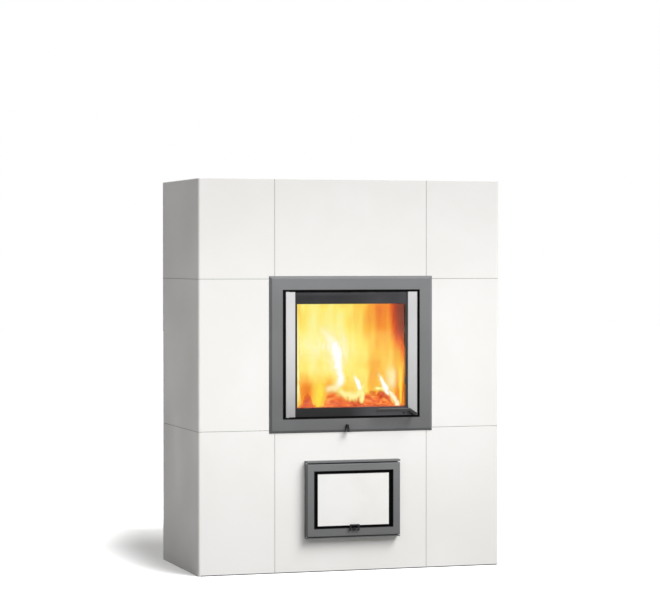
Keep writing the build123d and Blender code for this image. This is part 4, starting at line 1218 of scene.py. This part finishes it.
def showBySight(tree, unseen, seen, endKind):
    # one shader for the light that bounces, another for what is looked at
    rays = put(tree, "ShaderNodeLightPath").outputs
    sight = math2(tree, "MAXIMUM", rays["Is Camera Ray"], rays["Is Glossy Ray"])
    sight = math2(tree, "MAXIMUM", sight, rays["Is Transmission Ray"])
    pick = tree.nodes.new("ShaderNodeMixShader")
    for socket, value in zip(pick.inputs, (sight, unseen.outputs[0], seen.outputs[0])):
        feed(tree, value, socket)
    put(tree, endKind, {"Surface": pick.outputs[0]})


def makeFloor():
    material = bpy.data.materials.new("studio_floor")
    material.use_nodes = True
    tree = material.node_tree
    tree.nodes.clear()
    bounce = put(tree, "ShaderNodeBsdfDiffuse", {"Color": grey(lightLook["floorBounce"])})
    seen = put(tree, "ShaderNodeBsdfDiffuse", {"Color": grey(lightLook["floorSeen"])})
    # painted light on the floor: it grows whiter away from the stove, so that the cast shadow dies
    # out as in the studio
    axes = axesOf(tree, placeOn(tree))
    wide, deep = (math2(tree, "POWER", divide(tree, axes[axis], reach), 2.0)
                  for axis, reach in zip("XY", lightLook["fadeReach"]))
    aside = spread(tree, math2(tree, "SQRT", plus(tree, wide, deep)), *lightLook["fade"])
    behind = spread(tree, axes["Y"], *lightLook["fadeBehind"])
    paintedWashout = math2(tree, "MAXIMUM", aside, behind)
    strength = math2(tree, "MULTIPLY_ADD", paintedWashout, lightLook["floorFar"], lightLook["floorLift"])
    lift = put(tree, "ShaderNodeEmission", {"Color": (1, 1, 1, 1), "Strength": strength})
    lifted = tree.nodes.new("ShaderNodeAddShader")
    feed(tree, seen.outputs[0], lifted.inputs[0])
    feed(tree, lift.outputs[0], lifted.inputs[1])
    showBySight(tree, bounce, lifted, "ShaderNodeOutputMaterial")
    mesh = bmesh.new()
    bmesh.ops.create_grid(mesh, x_segments=2, y_segments=2, size=30)
    result = takeMesh("studio_floor", mesh)
    result.materials.append(material)
    floor = bpy.data.objects.new("studio_floor", result)
    scene.collection.objects.link(floor)


def makeWorld():
    world = bpy.data.worlds.new("studio")
    scene.world = world
    world.use_nodes = True
    tree = world.node_tree
    tree.nodes.clear()
    soft = put(tree, "ShaderNodeBackground", {
        "Color": (1.0, 0.985, 0.97, 1), "Strength": lightLook["world"]})
    white = put(tree, "ShaderNodeBackground", {"Color": (1, 1, 1, 1), "Strength": 1.0})
    showBySight(tree, soft, white, "ShaderNodeOutputWorld")


def makeSun():
    data = bpy.data.lights.new("key", "SUN")
    data.energy = lightLook["sun"]
    data.angle = math.radians(lightLook["sunSoft"])
    lamp = bpy.data.objects.new("key", data)
    side, high = math.radians(lightLook["sunSide"]), math.radians(lightLook["sunHigh"])
    back = Vector((math.sin(side) * math.cos(high), -math.cos(side) * math.cos(high),
                   math.sin(high)))
    lamp.rotation_euler = back.to_track_quat("Z", "Y").to_euler()
    lamp.location = back * 6
    scene.collection.objects.link(lamp)


def makeFill():
    # low wide fill that lifts the middle of the front
    data = bpy.data.lights.new("fill", "AREA")
    data.shape = "RECTANGLE"
    data.size, data.size_y = lightLook["fillSize"]
    data.energy = lightLook["fill"]
    lamp = bpy.data.objects.new("fill", data)
    lamp.location = lightLook["fillPlace"]
    lamp.rotation_euler = (math.radians(90), 0, 0)
    lamp.visible_camera = False
    lamp.visible_glossy = False
    scene.collection.objects.link(lamp)


makeFloor()
makeWorld()
makeSun()
makeFill()
scene.view_settings.view_transform = "Standard"
print("studio made")
